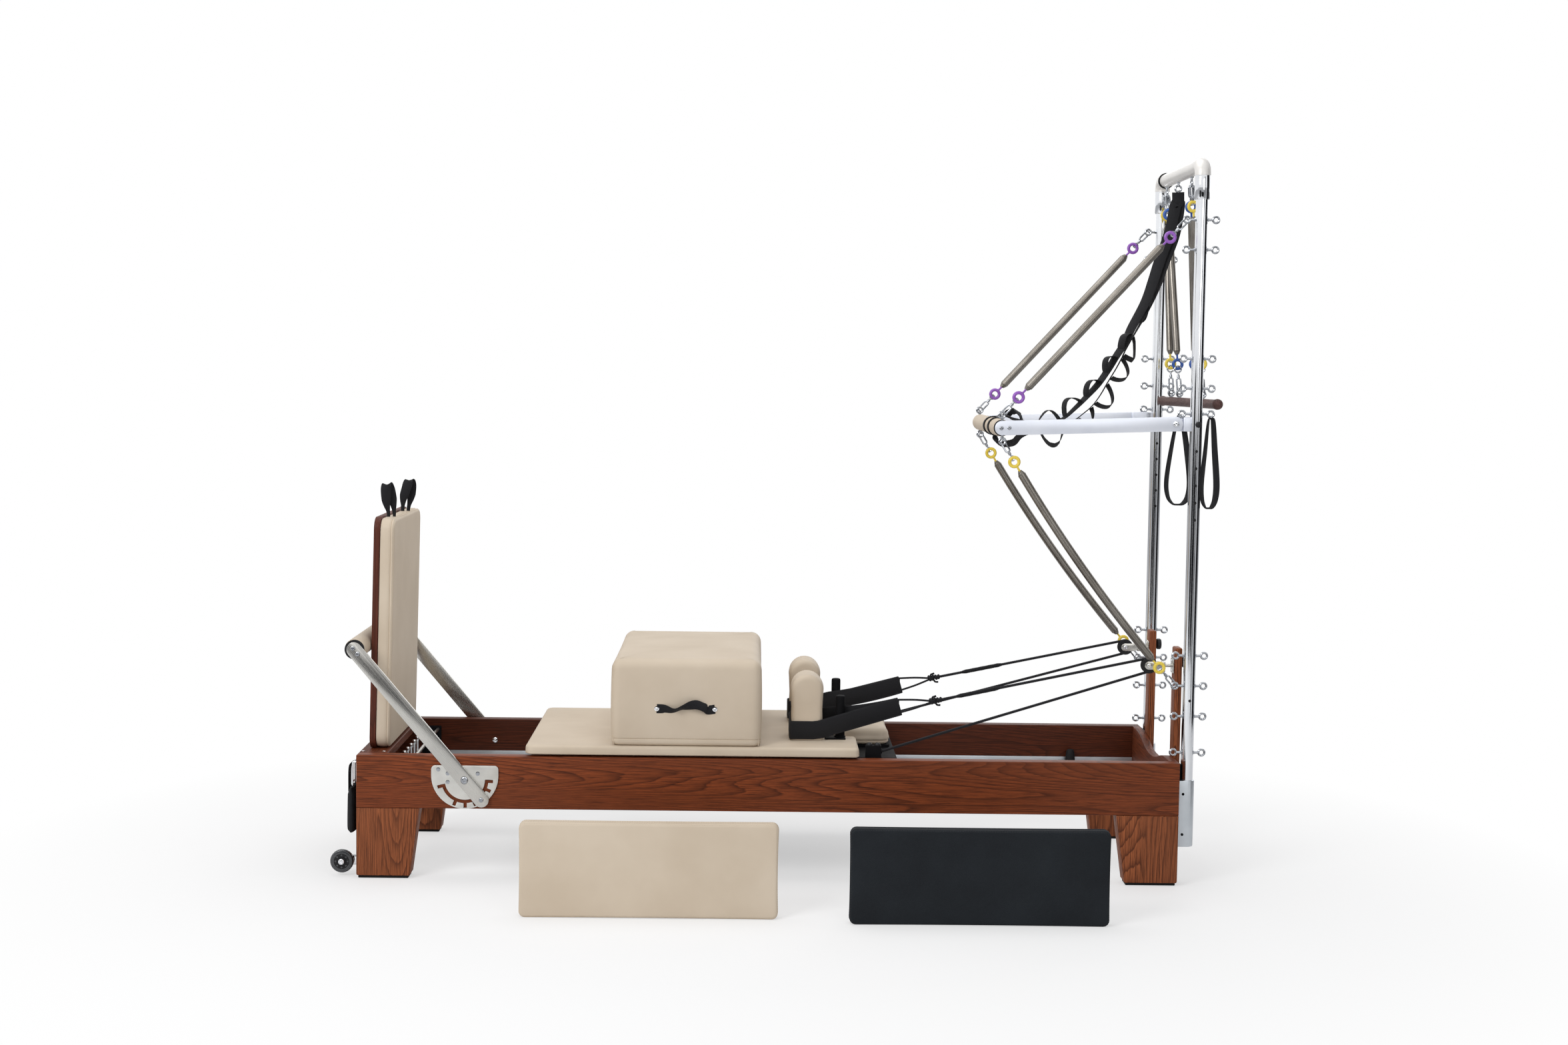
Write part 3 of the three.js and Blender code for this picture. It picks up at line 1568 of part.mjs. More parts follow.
function strapPost(side) {
  const y = side.y * (shoulderInner + postInset);
  const x = shoulderEnd + postOffset;
  const start = shoulderEnd + postPlateGap;
  const bottom = padTop + seam;
  const base = block(
    at(start, y - postPlateHalfWidth, bottom),
    at(start + postPlateLength, y + postPlateHalfWidth, bottom + postPlateThickness),
  );
  const post = rod(at(x, y, bottom), at(x, y, bottom + postHeight), postRadius, tubeSides);
  return joined([base, post]);
}

// One axle with its two track wheels
function wheelAxle() {
  const reach = railInner - seam - wheelSideGap;
  const wheels = sides.map((side) =>
    rod(at(0, side.y * (reach - wheelWidth), 0), at(0, side.y * reach, 0), wheelRadius, tubeSides),
  );
  return joined([rod(at(0, -reach, 0), at(0, reach, 0), axleRadius), ...wheels]);
}

// Springs under the carriage, hooked over the pegs and held by one carrier
function carriageSprings() {
  const carrierEnd = carriageFront - seam;
  const reach = ((pegCount - 1) / 2) * pegPitch + carriageSpringRadius;
  const carrier = block(
    at(carrierEnd - carrierThickness, -reach, carriageSpringHeight - carrierHeight / 2),
    at(carrierEnd, reach, carriageSpringHeight + carrierHeight / 2),
  );
  const lines = [];
  for (let index = 0; index < pegCount; index += 1) {
    const y = (index - (pegCount - 1) / 2) * pegPitch;
    const start = pegPlace + pegStemRadius + eyeGap;
    const hookEnd = start + carriageSpringHook;
    const z = carriageSpringHeight;
    lines.push(rod(at(start, y, z), at(hookEnd, y, z), pegStemRadius / 2, smallSides));
    lines.push(rod(at(hookEnd - overrun, y, z), at(carrierEnd - overrun, y, z), carriageSpringRadius));
  }
  return joined([carrier, ...lines]);
}

// The strap loop round a shoulder rest and its post, then the rope to the pulley and back
function rope(side) {
  const inner = shoulderInner - strapClearance;
  const outer = shoulderInner + shoulderThickness + strapClearance;
  const start = shoulderStart - strapClearance - (strapHeight / 2) * Math.sin(radians(strapTiltAngle));
  const back = shoulderEnd + strapClearance;
  const corners = [
    new THREE.Vector2(start, -inner),
    new THREE.Vector2(start, -outer),
    new THREE.Vector2(back, -outer),
    new THREE.Vector2(strapEndPlace, -strapEndSide - strapThickness),
    new THREE.Vector2(strapEndPlace, -strapEndSide + strapThickness),
    new THREE.Vector2(back, -inner),
  ];
  const slope = radians(strapTiltAngle);
  const middle = padTop + strapRise;
  const loop = strapLoop(roundedLoop(corners, strapCornerRadius), strapThickness, strapHeight);
  loop.translate(-start, 0, -strapHeight / 2).rotateY(-slope);
  loop.translate(start, 0, middle);
  const strapEnd = at(
    start + (strapEndPlace - start) * Math.cos(slope) - ropeRadius,
    -strapEndSide,
    middle + (strapEndPlace - start) * Math.sin(slope),
  );
  const knot = at(strapEndPlace + cordLength, -strapEndSide - knotOutset, padTop + knotRise);
  const near = joined([loop, ropeTube([strapEnd, knot, ...ropeRoute()])]);
  return side.y < 0 ? near : near.mirror([0, 1, 0]);
}

// The rope's points after the knot: over the pulley, round it and down to the cleat
function ropeRoute() {
  const points = [];
  for (let step = 0; step <= wrapSteps; step += 1) {
    const angle = radians(ropeStartAngle - (step / wrapSteps) * ropeTurnAngle);
    const x = pulleyPlace + ropeWrap * Math.cos(angle);
    points.push(at(x, -riserSide, pulleyHeight + ropeWrap * Math.sin(angle)));
  }
  const end = at(cleatPlace + cleatLength + eyeGap, -cleatSide, frameTop + cleatHeight / 2);
  points.push(end.clone().add(at(2 * ropeRadius, 0, 0)), end);
  return points;
}

function ropeTube(route) {
  return ringedSolid(tubeRings(route, ropeRadius, ropeSides));
}

// Sitting box with a webbing handle on each end
function addSittingBox(parent) {
  const body = cushion(boxWidth, boxLength, boxHeight, boxCornerRadius, boxEdge, boxCrown);
  body.translate(boxStart + boxWidth / 2, 0, padTop + seam);
  const face = boxLength / 2;
  const path = [
    new THREE.Vector2(0, face - handleHold),
    new THREE.Vector2(handleSpan * bevelShare, face + handleRise),
    new THREE.Vector2(handleSpan * (1 - bevelShare), face + handleRise),
    new THREE.Vector2(handleSpan, face - handleHold),
  ];
  const handles = sides.map((side) => {
    const options = { depth: handleWidth, bevelEnabled: false };
    const strap = new THREE.ExtrudeGeometry(ribbon(path, handleThickness), options);
    const start = boxStart + handleStart;
    strap.translate(start, 0, padTop + handleHeight - handleWidth / 2);
    return side.y > 0 ? strap : strap.rotateZ(Math.PI).translate(2 * start + handleSpan, 0, 0);
  });
  piece(parent, "sitting_box", joined([body, ...handles]), cream);
}

// Jump board: a wooden panel with its pad and two webbing loops, leaning on its foot
function addJumpBoard(parent) {
  const board = new THREE.Group();
  board.position.set(-halfLength + jumpInset, 0, frameTop + seam);
  board.rotation.y = radians(jumpLeanAngle);
  parent.add(board);
  const padHeight = jumpHeight - jumpPadLift * 2;
  const padWidth = jumpWidth - jumpPadLift;
  const pad = cushion(padHeight, padWidth, jumpPadThickness, jumpCornerRadius, jumpPadEdge, jumpPadCrown);
  pad.rotateY(Math.PI / 2);
  pad.translate(-seam, 0, jumpHeight / 2);
  piece(board, "jump_board", joined([jumpPanel(), pad, ...jumpLoopPlaces.map(jumpLoop)]), cream);
}

function jumpPanel() {
  const shape = roundedRectangle(-jumpWidth / 2, jumpWidth / 2, 0, jumpHeight, jumpCornerRadius);
  const panel = new THREE.ExtrudeGeometry(shape, {
    depth: jumpPanelThickness,
    bevelEnabled: false,
    curveSegments: arcSteps / 2,
  });
  panel.rotateX(Math.PI / 2).rotateZ(Math.PI / 2);
  return panel.translate(-jumpPanelThickness, 0, 0);
}

function jumpLoop(y) {
  const foot = jumpHeight - jumpPadLift - jumpLoopHold;
  const top = jumpHeight + jumpLoopHeight;
  const path = [
    new THREE.Vector2(jumpLoopFoot, foot),
    new THREE.Vector2(jumpLoopFoot - jumpLoopHalfSpan * bevelShare, top - jumpLoopHalfSpan),
    new THREE.Vector2(jumpLoopFoot + jumpLoopHalfSpan * bevelShare, top),
    new THREE.Vector2(jumpLoopFoot + jumpLoopHalfSpan, top),
    new THREE.Vector2(jumpLoopFoot + 2 * jumpLoopHalfSpan, top - jumpLoopHalfSpan),
    new THREE.Vector2(2 * jumpLoopFoot, foot),
  ];
  return plate(ribbon(path, jumpLoopThickness), y - jumpLoopWidth / 2, y + jumpLoopWidth / 2);
}

// Filler mats that stand on a long edge in front of the frame
function addMats(parent) {
  for (const { name, start, standOff, color } of matPlaces) {
    const pad = cushion(matLength, matHeight, matThickness, matCornerRadius, matEdge, matCrown);
    pad.rotateX(Math.PI / 2);
    const mesh = piece(parent, name, solid(pad), finish(color, 0.7, 0));
    mesh.position.set(start + matLength / 2, -halfWidth - standOff, matHeight / 2);
  }
}

const whole = new THREE.Group();
addFrame(whole);
addSpringBar(whole);
addFootbar(whole);
addTower(whole);
addPushBar(whole);
addSprings(whole);
addRollBar(whole);
addHandLoops(whole);
addDaisyStraps(whole);
addRisers(whole);
addTransportWheels(whole);
addCarriage(whole);
addSittingBox(whole);
addJumpBoard(whole);
addMats(whole);
console.log("least gap between the curls of a spring: " + leastCurlGap.toFixed(2) + " mm");

// The origin lies on the floor, under the middle of the whole
const span = new THREE.Box3().setFromObject(whole);
const middle = span.getCenter(new THREE.Vector3());
whole.position.set(-middle.x, -middle.y, 0);
console.log("frame middle lies at " + (-middle.x).toFixed(3) + ", " + (-middle.y).toFixed(3) + " mm");

export default whole;
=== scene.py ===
"""The look of a reformer with a half tower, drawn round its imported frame. Metres throughout."""

from math import atan2, ceil, copysign, cos, degrees, exp, hypot, pi, radians, sin, sqrt

import bmesh
import bpy
from mathutils import Matrix, Vector


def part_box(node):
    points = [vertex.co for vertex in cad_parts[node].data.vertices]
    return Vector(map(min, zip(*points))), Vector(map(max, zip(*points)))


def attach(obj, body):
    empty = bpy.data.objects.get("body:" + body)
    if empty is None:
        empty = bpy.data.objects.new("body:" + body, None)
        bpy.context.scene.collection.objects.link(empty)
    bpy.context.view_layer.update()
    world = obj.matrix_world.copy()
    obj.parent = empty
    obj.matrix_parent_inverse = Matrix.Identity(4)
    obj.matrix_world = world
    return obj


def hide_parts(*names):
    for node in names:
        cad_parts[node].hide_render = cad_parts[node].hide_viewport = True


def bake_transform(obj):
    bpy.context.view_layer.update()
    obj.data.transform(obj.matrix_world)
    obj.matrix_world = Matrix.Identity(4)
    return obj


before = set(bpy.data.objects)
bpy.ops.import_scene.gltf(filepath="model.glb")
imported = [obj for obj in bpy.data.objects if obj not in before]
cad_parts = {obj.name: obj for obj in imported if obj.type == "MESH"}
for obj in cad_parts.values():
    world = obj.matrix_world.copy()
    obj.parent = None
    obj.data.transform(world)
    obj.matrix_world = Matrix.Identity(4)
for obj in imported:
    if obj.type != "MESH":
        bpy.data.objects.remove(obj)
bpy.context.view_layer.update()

near_low, near_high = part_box("near_rail")
_, far_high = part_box("far_rail")
MIDDLE = Vector(((near_low.x + near_high.x) / 2, (near_low.y + far_high.y) / 2, 0))
SIDES = (("near", -1), ("far", 1))
AXES = {"x": Vector((1, 0, 0)), "y": Vector((0, 1, 0)), "z": Vector((0, 0, 1))}

# Places that several pieces share, from the middle of the frame and the floor
RAIL_END, HEAD_FACE = 1.2, 1.2003
RAIL_INSIDE, LEG_Y = 0.3077, 0.315
PAD_FOOT, PAD_TOP, DECK = 0.370, 0.398, 0.3983
SPRING_ROWS = [0.0635 * row for row in (-2, -1, 0, 1, 2)]
BAR_ANGLE = radians(130.2)
UPRIGHT_X, UPRIGHT_Y = 1.227, 0.311
UPRIGHT_HOLES = (1.075, 1.125, 1.175, 1.225, 1.275)
LOW_EYES, HIGH_EYES = (0.390, 0.497, 0.587, 0.676), (1.383, 1.457, 1.543, 1.857, 1.943)
CROSSBAR_Z, CROSSBAR_EYE_DROP = 2.100, 0.0485
NEAR_HANG, STRAP_HANG, FAR_HANG = -0.151, 0.052, 0.236
PULLEY_X, PULLEY_Y, PULLEY_Z = 1.127, 0.208, 0.6325
CLEAT_Y = 0.290
STRAP_THICK, SEW_THICK, SEAM_CORD = 0.0028, 0.0016, 0.0011
# A flat plate's plane, turned to face along X
FACING_X = Matrix(((0, 0, 1, 0), (1, 0, 0, 0), (0, 1, 0, 0), (0, 0, 0, 1)))


def at(x, y, z):
    """A place measured from the middle of the frame, on the floor."""
    return MIDDLE + Vector((x, y, z))


def moved(place, x=0.0, y=0.0, z=0.0):
    return place + Vector((x, y, z))


def linked(name, data):
    """A new object of this data, in the scene."""
    obj = bpy.data.objects.new(name, data)
    bpy.context.scene.collection.objects.link(obj)
    return obj


# Camera
PHOTO_WIDTH, FOCAL_PIXELS, SENSOR = 2352, 3280.36, 36
CAMERA_PLACE = (-0.0644, -6.6485, 1.5211)
PITCH, ROLL, YAW = (radians(angle) for angle in (4.2295, 0.7768, 0.8899))


def make_camera():
    data = bpy.data.cameras.new("camera")
    data.sensor_width = SENSOR
    data.lens = FOCAL_PIXELS / PHOTO_WIDTH * SENSOR
    data.clip_end = 200
    forward = Vector((sin(YAW), cos(YAW), 0))
    right = Vector((cos(YAW), -sin(YAW), 0))
    ahead = cos(PITCH) * forward - sin(PITCH) * AXES["z"]
    above = cos(PITCH) * AXES["z"] + sin(PITCH) * forward
    beside = cos(ROLL) * right + sin(ROLL) * above
    upward = -sin(ROLL) * right + cos(ROLL) * above
    facing = Matrix((beside, upward, -ahead)).transposed().to_4x4()
    camera = linked("camera", data)
    camera.matrix_world = Matrix.Translation(at(*CAMERA_PLACE)) @ facing
    bpy.context.scene.camera = camera


make_camera()
bpy.context.scene.view_settings.view_transform = "Standard"


# Materials
def linear(color):
    parts = [c / 255 for c in color]
    return [c / 12.92 if c <= 0.04045 else ((c + 0.055) / 1.055) ** 2.4 for c in parts]


class Nodes:
    """The nodes of a material or a world, added and wired by short calls."""

    def __init__(self, name, owner=None):
        self.owner = owner or bpy.data.materials.new(name)
        self.owner.use_nodes = True
        self.tree = self.owner.node_tree
        self.shader = self.tree.nodes.get("Principled BSDF")

    def node(self, kind, inputs=None, **settings):
        added = self.tree.nodes.new(kind)
        for key, value in settings.items():
            setattr(added, key, value)
        for key, value in (inputs or {}).items():
            self.put(added.inputs[key], value)
        return added

    def put(self, socket, value):
        if isinstance(value, bpy.types.NodeSocket):
            self.tree.links.new(value, socket)
        else:
            socket.default_value = value

    def set(self, **inputs):
        for key, value in inputs.items():
            self.put(self.shader.inputs[key.replace("_", " ")], value)

    def place(self, scale, turn=(0, 0, 0), kind="Object"):
        source = self.node("ShaderNodeTexCoord").outputs[kind]
        inputs = {"Vector": source, "Scale": scale, "Rotation": turn}
        return self.node("ShaderNodeMapping", inputs).outputs["Vector"]

    def noise(self, place, scale=1, detail=3, rough=0.5):
        inputs = {"Vector": place, "Scale": scale, "Detail": detail, "Roughness": rough}
        return self.node("ShaderNodeTexNoise", inputs).outputs["Fac"]

    def ramp(self, fac, *stops):
        """Colours or plain numbers at places from 0 to 1."""
        added = self.node("ShaderNodeValToRGB", {"Fac": fac})
        band = added.color_ramp
        while len(band.elements) < len(stops):
            band.elements.new(0.5)
        for element, (where, color) in zip(band.elements, stops):
            element.position = where
            element.color = (*(color if isinstance(color, list) else [color] * 3), 1)
        return added.outputs["Color"]

    def vector(self, operation, a, b=None):
        inputs = {0: a} if b is None else {0: a, 1: b}
        return self.node("ShaderNodeVectorMath", inputs, operation=operation)

    def math(self, operation, a, b=0.0):
        return self.node("ShaderNodeMath", {0: a, 1: b}, operation=operation).outputs[0]

    def mix(self, under, over, share):
        """Two colours mixed; inputs 6 and 7 are the node's own colour sockets."""
        inputs = {0: share, 6: under, 7: (*over, 1)}
        return self.node("ShaderNodeMix", inputs, data_type="RGBA").outputs[2]

    def bump(self, height, strength, distance):
        inputs = {"Height": height, "Strength": strength, "Distance": distance}
        self.set(Normal=self.node("ShaderNodeBump", inputs).outputs["Normal"])


def tinted(name, dark, light, spots, roughness, metallic, grain, strength, distance, **extra):
    """A material whose colour wanders between two tones, with a fine bump and uneven gloss."""
    nodes = Nodes(name)
    wander = nodes.noise(nodes.place((spots,) * 3), 1, 4)
    low, high = roughness
    nodes.set(
        Base_Color=nodes.ramp(wander, (0.3, linear(dark)), (0.7, linear(light))),
        Roughness=nodes.ramp(wander, (0.3, low), (0.7, high)),
        Metallic=metallic,
        **extra,
    )
    scale = grain if isinstance(grain, tuple) else (grain,) * 3
    nodes.bump(nodes.noise(nodes.place(scale), 1, 3, 0.6), strength, distance)
    return nodes.owner


def wood(name, axis, light=(146, 72, 37), dark=(46, 18, 7), shift=0.0):
    """Open-grained oak under a red-brown stain, its grain along one axis."""
    nodes = Nodes(name)

    def grain(along, across):
        return nodes.place([along if other == axis else across for other in "xyz"])

    def tone(share):
        return linear([a + (b - a) * share for a, b in zip(dark, light)])

    moved = nodes.vector("ADD", grain(0.55, 6.5), (shift, shift, 2 * shift)).outputs[0]
    field = nodes.math("MULTIPLY", nodes.noise(moved, 1, 1.2, 0.35), 58.0)
    wobble = nodes.math("MULTIPLY", nodes.noise(grain(3, 60), 1, 3, 0.6), 0.9)
    rings = nodes.math("FRACT", nodes.math("ADD", field, wobble))
    pores = nodes.noise(grain(9, 480), 1, 3, 0.75)
    fibres = nodes.noise(grain(2.5, 160), 1, 4, 0.6)
    broad = nodes.noise(grain(0.8, 9), 1, 3, 0.5)
    bands = ((0.0, tone(0.28)), (0.14, tone(0.66)), (0.38, tone(0.9)), (0.92, tone(1.0)), (1.0, tone(0.28)))
    color = nodes.ramp(rings, *bands)
    color = nodes.mix(color, linear(dark), nodes.ramp(pores, (0.48, 0.0), (0.60, 0.85)))
    color = nodes.mix(color, linear([c * 0.72 for c in light]), nodes.ramp(fibres, (0.4, 0.0), (0.75, 0.5)))
    color = nodes.mix(color, linear([c * 0.7 for c in light]), nodes.ramp(broad, (0.35, 0.0), (0.75, 0.6)))
    roughness = nodes.ramp(pores, (0.3, 0.42), (0.7, 0.58))
    nodes.set(Base_Color=color, Roughness=roughness, Specular_IOR_Level=0.18)
    nodes.bump(nodes.math("SUBTRACT", nodes.math("MULTIPLY", rings, 0.3), pores), 0.3, 0.0005)
    return nodes.owner


def brushed(name, color, roughness, lean, strength):
    """Metal with fine lines along X, or along a direction leant up from it."""
    nodes = Nodes(name)
    stretched = nodes.vector("MULTIPLY", nodes.place((1, 1, 1), (0, lean, 0)), (5, 700, 700))
    lines = nodes.noise(stretched.outputs[0], 1, 3, 0.6)
    cloud = nodes.noise(nodes.place((7, 7, 7)), 1, 3)
    bright = linear(color)
    nodes.set(
        Base_Color=nodes.ramp(cloud, (0.3, [c * 0.82 for c in bright]), (0.7, bright)),
        Roughness=nodes.ramp(lines, (0.3, roughness - 0.06), (0.7, roughness + 0.08)),
        Metallic=1.0,
    )
    nodes.bump(lines, strength, 0.0002)
    return nodes.owner


def hide(name, light, dark, roughness=0.5, depth=0.35, scale=650.0):
    """Upholstery leather: pebbled grain, faint creases and slow changes of tone."""
    nodes = Nodes(name)
    place = nodes.place((1, 1, 1))
    tone = nodes.noise(place, 6, 4)
    inputs = {"Vector": place, "Scale": scale, "Randomness": 1.0}
    cells = nodes.node("ShaderNodeTexVoronoi", inputs, feature="DISTANCE_TO_EDGE").outputs["Distance"]
    creases = nodes.noise(nodes.place((14, 22, 9)), 1, 5, 0.6)
    nodes.set(
        Base_Color=nodes.ramp(tone, (0.3, linear(dark)), (0.7, linear(light))),
        Roughness=nodes.ramp(cells, (0.0, roughness + 0.12), (0.25, roughness)),
        Specular_IOR_Level=0.35,
    )
    pebbles = nodes.math("MULTIPLY", nodes.ramp(cells, (0.0, 0.0), (0.3, 1.0)), 0.12)
    nodes.bump(nodes.math("ADD", pebbles, creases), depth, 0.0016)
    return nodes.owner


def woven(name, light, dark, ribs, roughness=0.8, height=0.0006):
    """Webbing or rope: crossing ribs that follow the strap's own length and width."""
    nodes = Nodes(name)
    waves = []
    for turn in (pi / 4, -pi / 4):
        place = nodes.place((ribs, ribs, 1), (0, 0, turn), "UV")
        inputs = {"Vector": place, "Scale": 1.0, "Distortion": 0.6}
        waves.append(nodes.node("ShaderNodeTexWave", inputs).outputs["Fac"])
    cross = nodes.math("MAXIMUM", *waves)
    fuzz = nodes.noise(nodes.place((900, 900, 900)), 1, 2)
    nodes.set(
        Base_Color=nodes.ramp(cross, (0.25, linear(dark)), (0.9, linear(light))),
        Roughness=roughness,
        Sheen_Weight=0.05,
        Specular_IOR_Level=0.2,
    )
    nodes.bump(nodes.math("ADD", cross, nodes.math("MULTIPLY", fuzz, 0.4)), 0.6, height)
    return nodes.owner


VINYL = (35, (0.25, 0.38), 0.0, 500, 0.08, 0.0003)
DULL, LESS_DULL, DULLEST = ({"Specular_IOR_Level": level} for level in (0.25, 0.3, 0.08))
WOOD_X = wood("wood_along", "x")
# The far rail's wood is a darker copy of the near rail's oak: painted shade for the shade the far rail lies in.
WOOD_FAR_PAINTED_SHADE = wood("wood_far_painted_shade", "x", (98, 45, 24), (38, 15, 7), 4.7)
WOOD_Y = wood("wood_across", "y", (118, 58, 32), (50, 21, 10), 1.3)
WOOD_Z = wood("wood_upright", "z", (162, 92, 55), (54, 23, 10), 2.1)
PANEL = wood("wood_panel", "z", (102, 52, 37), (62, 29, 20), 3.3)
DARK_WOOD = wood("wood_dark", "y", (112, 84, 79), (62, 42, 39), 5.1)
CREAM = hide("cream_hide", (209, 194, 174), (200, 184, 163))
DARK_HIDE = hide("dark_hide", (27, 32, 37), (17, 21, 26), 0.85, 0.5, 420.0)
THREAD = tinted("thread", (186, 170, 150), (200, 184, 164), 60, (0.6, 0.7), 0.0, 1500, 0.4, 0.0003)
DARK_THREAD = tinted("dark_thread", (34, 34, 38), (52, 52, 56), 60, (0.7, 0.8), 0.0, 1500, 0.4, 0.0003)
WEBBING = woven("webbing", (38, 38, 41), (10, 10, 12), 420)
ROPE = woven("rope", (42, 42, 46), (10, 10, 12), 300, 0.75, 0.0008)
CHROME = tinted("chrome", (224, 226, 230), (238, 240, 243), 9, (0.05, 0.11), 1.0, 60, 0.01, 0.0004)
FITTING = tinted("bright_fitting", (150, 153, 158), (176, 179, 184), 60, (0.16, 0.26), 1.0, 500, 0.06, 0.0002)
STEEL = brushed("brushed_steel", (206, 204, 198), 0.26, 0.0, 0.04)
ARM_STEEL = brushed("arm_steel", (204, 202, 197), 0.24, BAR_ANGLE, 0.03)
PLATE = tinted("plate", (206, 205, 200), (222, 221, 216), 22, (0.38, 0.48), 0.85, 700, 0.08, 0.0002)
PALE = tinted("pale_arm", (222, 226, 236), (232, 235, 243), 11, (0.38, 0.46), 0.55, (4, 260, 260), 0.03, 0.0001)
ALLOY = tinted("alloy", (192, 198, 203), (208, 213, 218), 13, (0.36, 0.44), 0.8, (8, 900, 900), 0.08, 0.0002)
PAINTED = tinted("painted_tube", (222, 219, 215), (232, 229, 225), 15, (0.3, 0.4), 0.15, 350, 0.05, 0.0003)
WIRE = tinted("spring_wire", (120, 115, 108), (142, 137, 130), 14, (0.28, 0.36), 1.0, 1200, 0.08, 0.0001)
BLACK = tinted("black_moulding", (16, 16, 18), (27, 27, 30), 30, (0.45, 0.58), 0.0, 900, 0.2, 0.0003, **LESS_DULL)
BLACK_METAL = tinted("black_metal", (12, 12, 14), (21, 21, 23), 18, (0.6, 0.72), 0.0, 600, 0.12, 0.0002, **DULLEST)
RUBBER = tinted("rubber", (14, 14, 15), (24, 24, 25), 25, (0.62, 0.75), 0.0, 700, 0.3, 0.0004, **DULL)
TYRE = tinted("tyre", (40, 42, 45), (66, 68, 71), 22, (0.2, 0.3), 0.0, 300, 0.1, 0.0004, Coat_Weight=0.4)
PURPLE = tinted("purple_vinyl", (138, 80, 176), (156, 98, 194), *VINYL)
YELLOW = tinted("yellow_vinyl", (226, 196, 62), (240, 214, 86), *VINYL)
BLUE = tinted("blue_vinyl", (42, 80, 156), (58, 100, 180), *VINYL)
POUCH = tinted("pouch_cloth", (14, 14, 16), (30, 30, 33), 60, (0.75, 0.9), 0.0, 1500, 0.7, 0.0008, **DULL)
# Near-black for the tube's holes: painted shade, the dark inside of a hole.
HOLE_PAINTED_SHADE = tinted("hole_painted_shade", (10, 10, 11), (18, 18, 19), 30, (0.8, 0.9), 0.0, 400, 0.1, 0.0002)


# Geometry
class Part:
    """Points and faces gathered for one piece, with a place along and across it for its weave."""

    def __init__(self):
        self.points = []
        self.faces = []
        self.uvs = []

    def add(self, points, faces, uvs=None):
        base = len(self.points)
        self.points += [Vector(p) for p in points]
        self.faces += [[base + i for i in face] for face in faces]
        self.uvs += uvs or [(0.0, 0.0)] * len(points)
        return self

    def rings(self, rings, closed=False, uvs=None):
        """Rings of points joined one to the next; closed joins the last to the first."""
        count = len(rings[0])
        faces = []
        for i in range(len(rings) if closed else len(rings) - 1):
            a, b = i * count, ((i + 1) % len(rings)) * count
            for j in range(count):
                k = (j + 1) % count
                faces.append([a + j, a + k, b + k, b + j])
        if not closed:
            faces.append(list(range(count))[::-1])
            faces.append([(len(rings) - 1) * count + j for j in range(count)])
        return self.add([p for ring in rings for p in ring], faces, uvs)

    def tube(self, path, radius, sides=16, closed=False):
        """A round tube along points. radius may be one number or one for each point."""
        path = [Vector(p) for p in path]
        radii = radius if isinstance(radius, (list, tuple)) else [radius] * len(path)
        rings, uvs, run = [], [], 0.0
        for i, (point, (wide, thin)) in enumerate(zip(path, carried_frames(path, closed))):
            run += (point - path[i - 1]).length if i else 0
            ring = []
            for j in range(sides):
                angle = 2 * pi * j / sides
                ring.append(point + radii[i] * (cos(angle) * wide + sin(angle) * thin))
                uvs.append((run, radii[i] * angle))
            rings.append(ring)
        return self.rings(rings, closed, uvs)

    def lathe(self, profile, centre, axis="y", sides=40, closed=False):
        """A profile of (radius, place along the axis) turned round an axis through centre."""
        along = AXES[axis] if isinstance(axis, str) else Vector(axis).normalized()
        wide = along.orthogonal().normalized()
        thin = along.cross(wide)
        angles = [2 * pi * j / sides for j in range(sides)]
        rings = [[centre + along * h + r * (cos(a) * wide + sin(a) * thin) for a in angles] for r, h in profile]
        return self.rings(rings, closed)

    def box(self, corner, other, radius=0.002, segments=2):
        """A box with rounded edges between two opposite corners."""
        low, high = (Vector(map(pick, corner, other)) for pick in (min, max))
        size, middle = high - low, (high + low) / 2
        bm = bmesh.new()
        bmesh.ops.create_cube(bm, size=1)
        for v in bm.verts:
            v.co = Vector((v.co.x * size.x, v.co.y * size.y, v.co.z * size.z))
        radius = min(radius, 0.45 * min(size))
        bmesh.ops.bevel(bm, geom=bm.edges[:], offset=radius, segments=segments, affect="EDGES", profile=0.5)
        points = [v.co + middle for v in bm.verts]
        faces = [[v.index for v in f.verts] for f in bm.faces]
        bm.free()
        return self.add(points, faces)

    def strap(self, path, across, width, thickness, closed=False):
        """A flat band along points, its width along the given direction or directions."""
        path = [Vector(p) for p in path]
        count = len(path)
        directions = across if isinstance(across, list) else [across] * count
        widths = width if isinstance(width, list) else [width] * count
        chamfer, thick = thickness * 0.35, thickness / 2
        rings, uvs, run = [], [], 0.0
        for i, point in enumerate(path):
            before = path[i - 1] if i or closed else path[0]
            after = path[(i + 1) % count] if i + 1 < count or closed else path[-1]
            along = (after - before).normalized()
            run += (point - path[i - 1]).length if i else 0
            half = widths[i] / 2
            outline = [
                (-half + chamfer, -thick), (half - chamfer, -thick), (half, -thick + chamfer), (half, thick - chamfer),
                (half - chamfer, thick), (-half + chamfer, thick), (-half, thick - chamfer), (-half, -thick + chamfer),
            ]
            wide = square_to(along, directions[i])
            thin = along.cross(wide)
            rings.append([point + a * wide + b * thin for a, b in outline])
            uvs += [(run, a) for a, _ in outline]
        return self.rings(rings, closed, uvs)

    def copy(self, node):
        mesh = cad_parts[node].data
        return self.add([v.co for v in mesh.vertices], [list(p.vertices) for p in mesh.polygons])


def square_to(along, direction):
    """The direction, made square to along."""
    direction = Vector(direction)
    return (direction - along * direction.dot(along)).normalized()


def carried_frames(path, closed=False):
    """Two directions square to the path at each point, carried along it without twist."""
    count = len(path)
    tangents = []
    for i in range(count):
        before = path[i - 1] if i or closed else path[0]
        after = path[(i + 1) % count] if i + 1 < count or closed else path[-1]
        tangents.append((after - before).normalized())
    wide = tangents[0].orthogonal().normalized()
    frames = []
    for tangent in tangents:
        wide = square_to(tangent, wide)
        frames.append((wide.copy(), tangent.cross(wide)))
    return frames


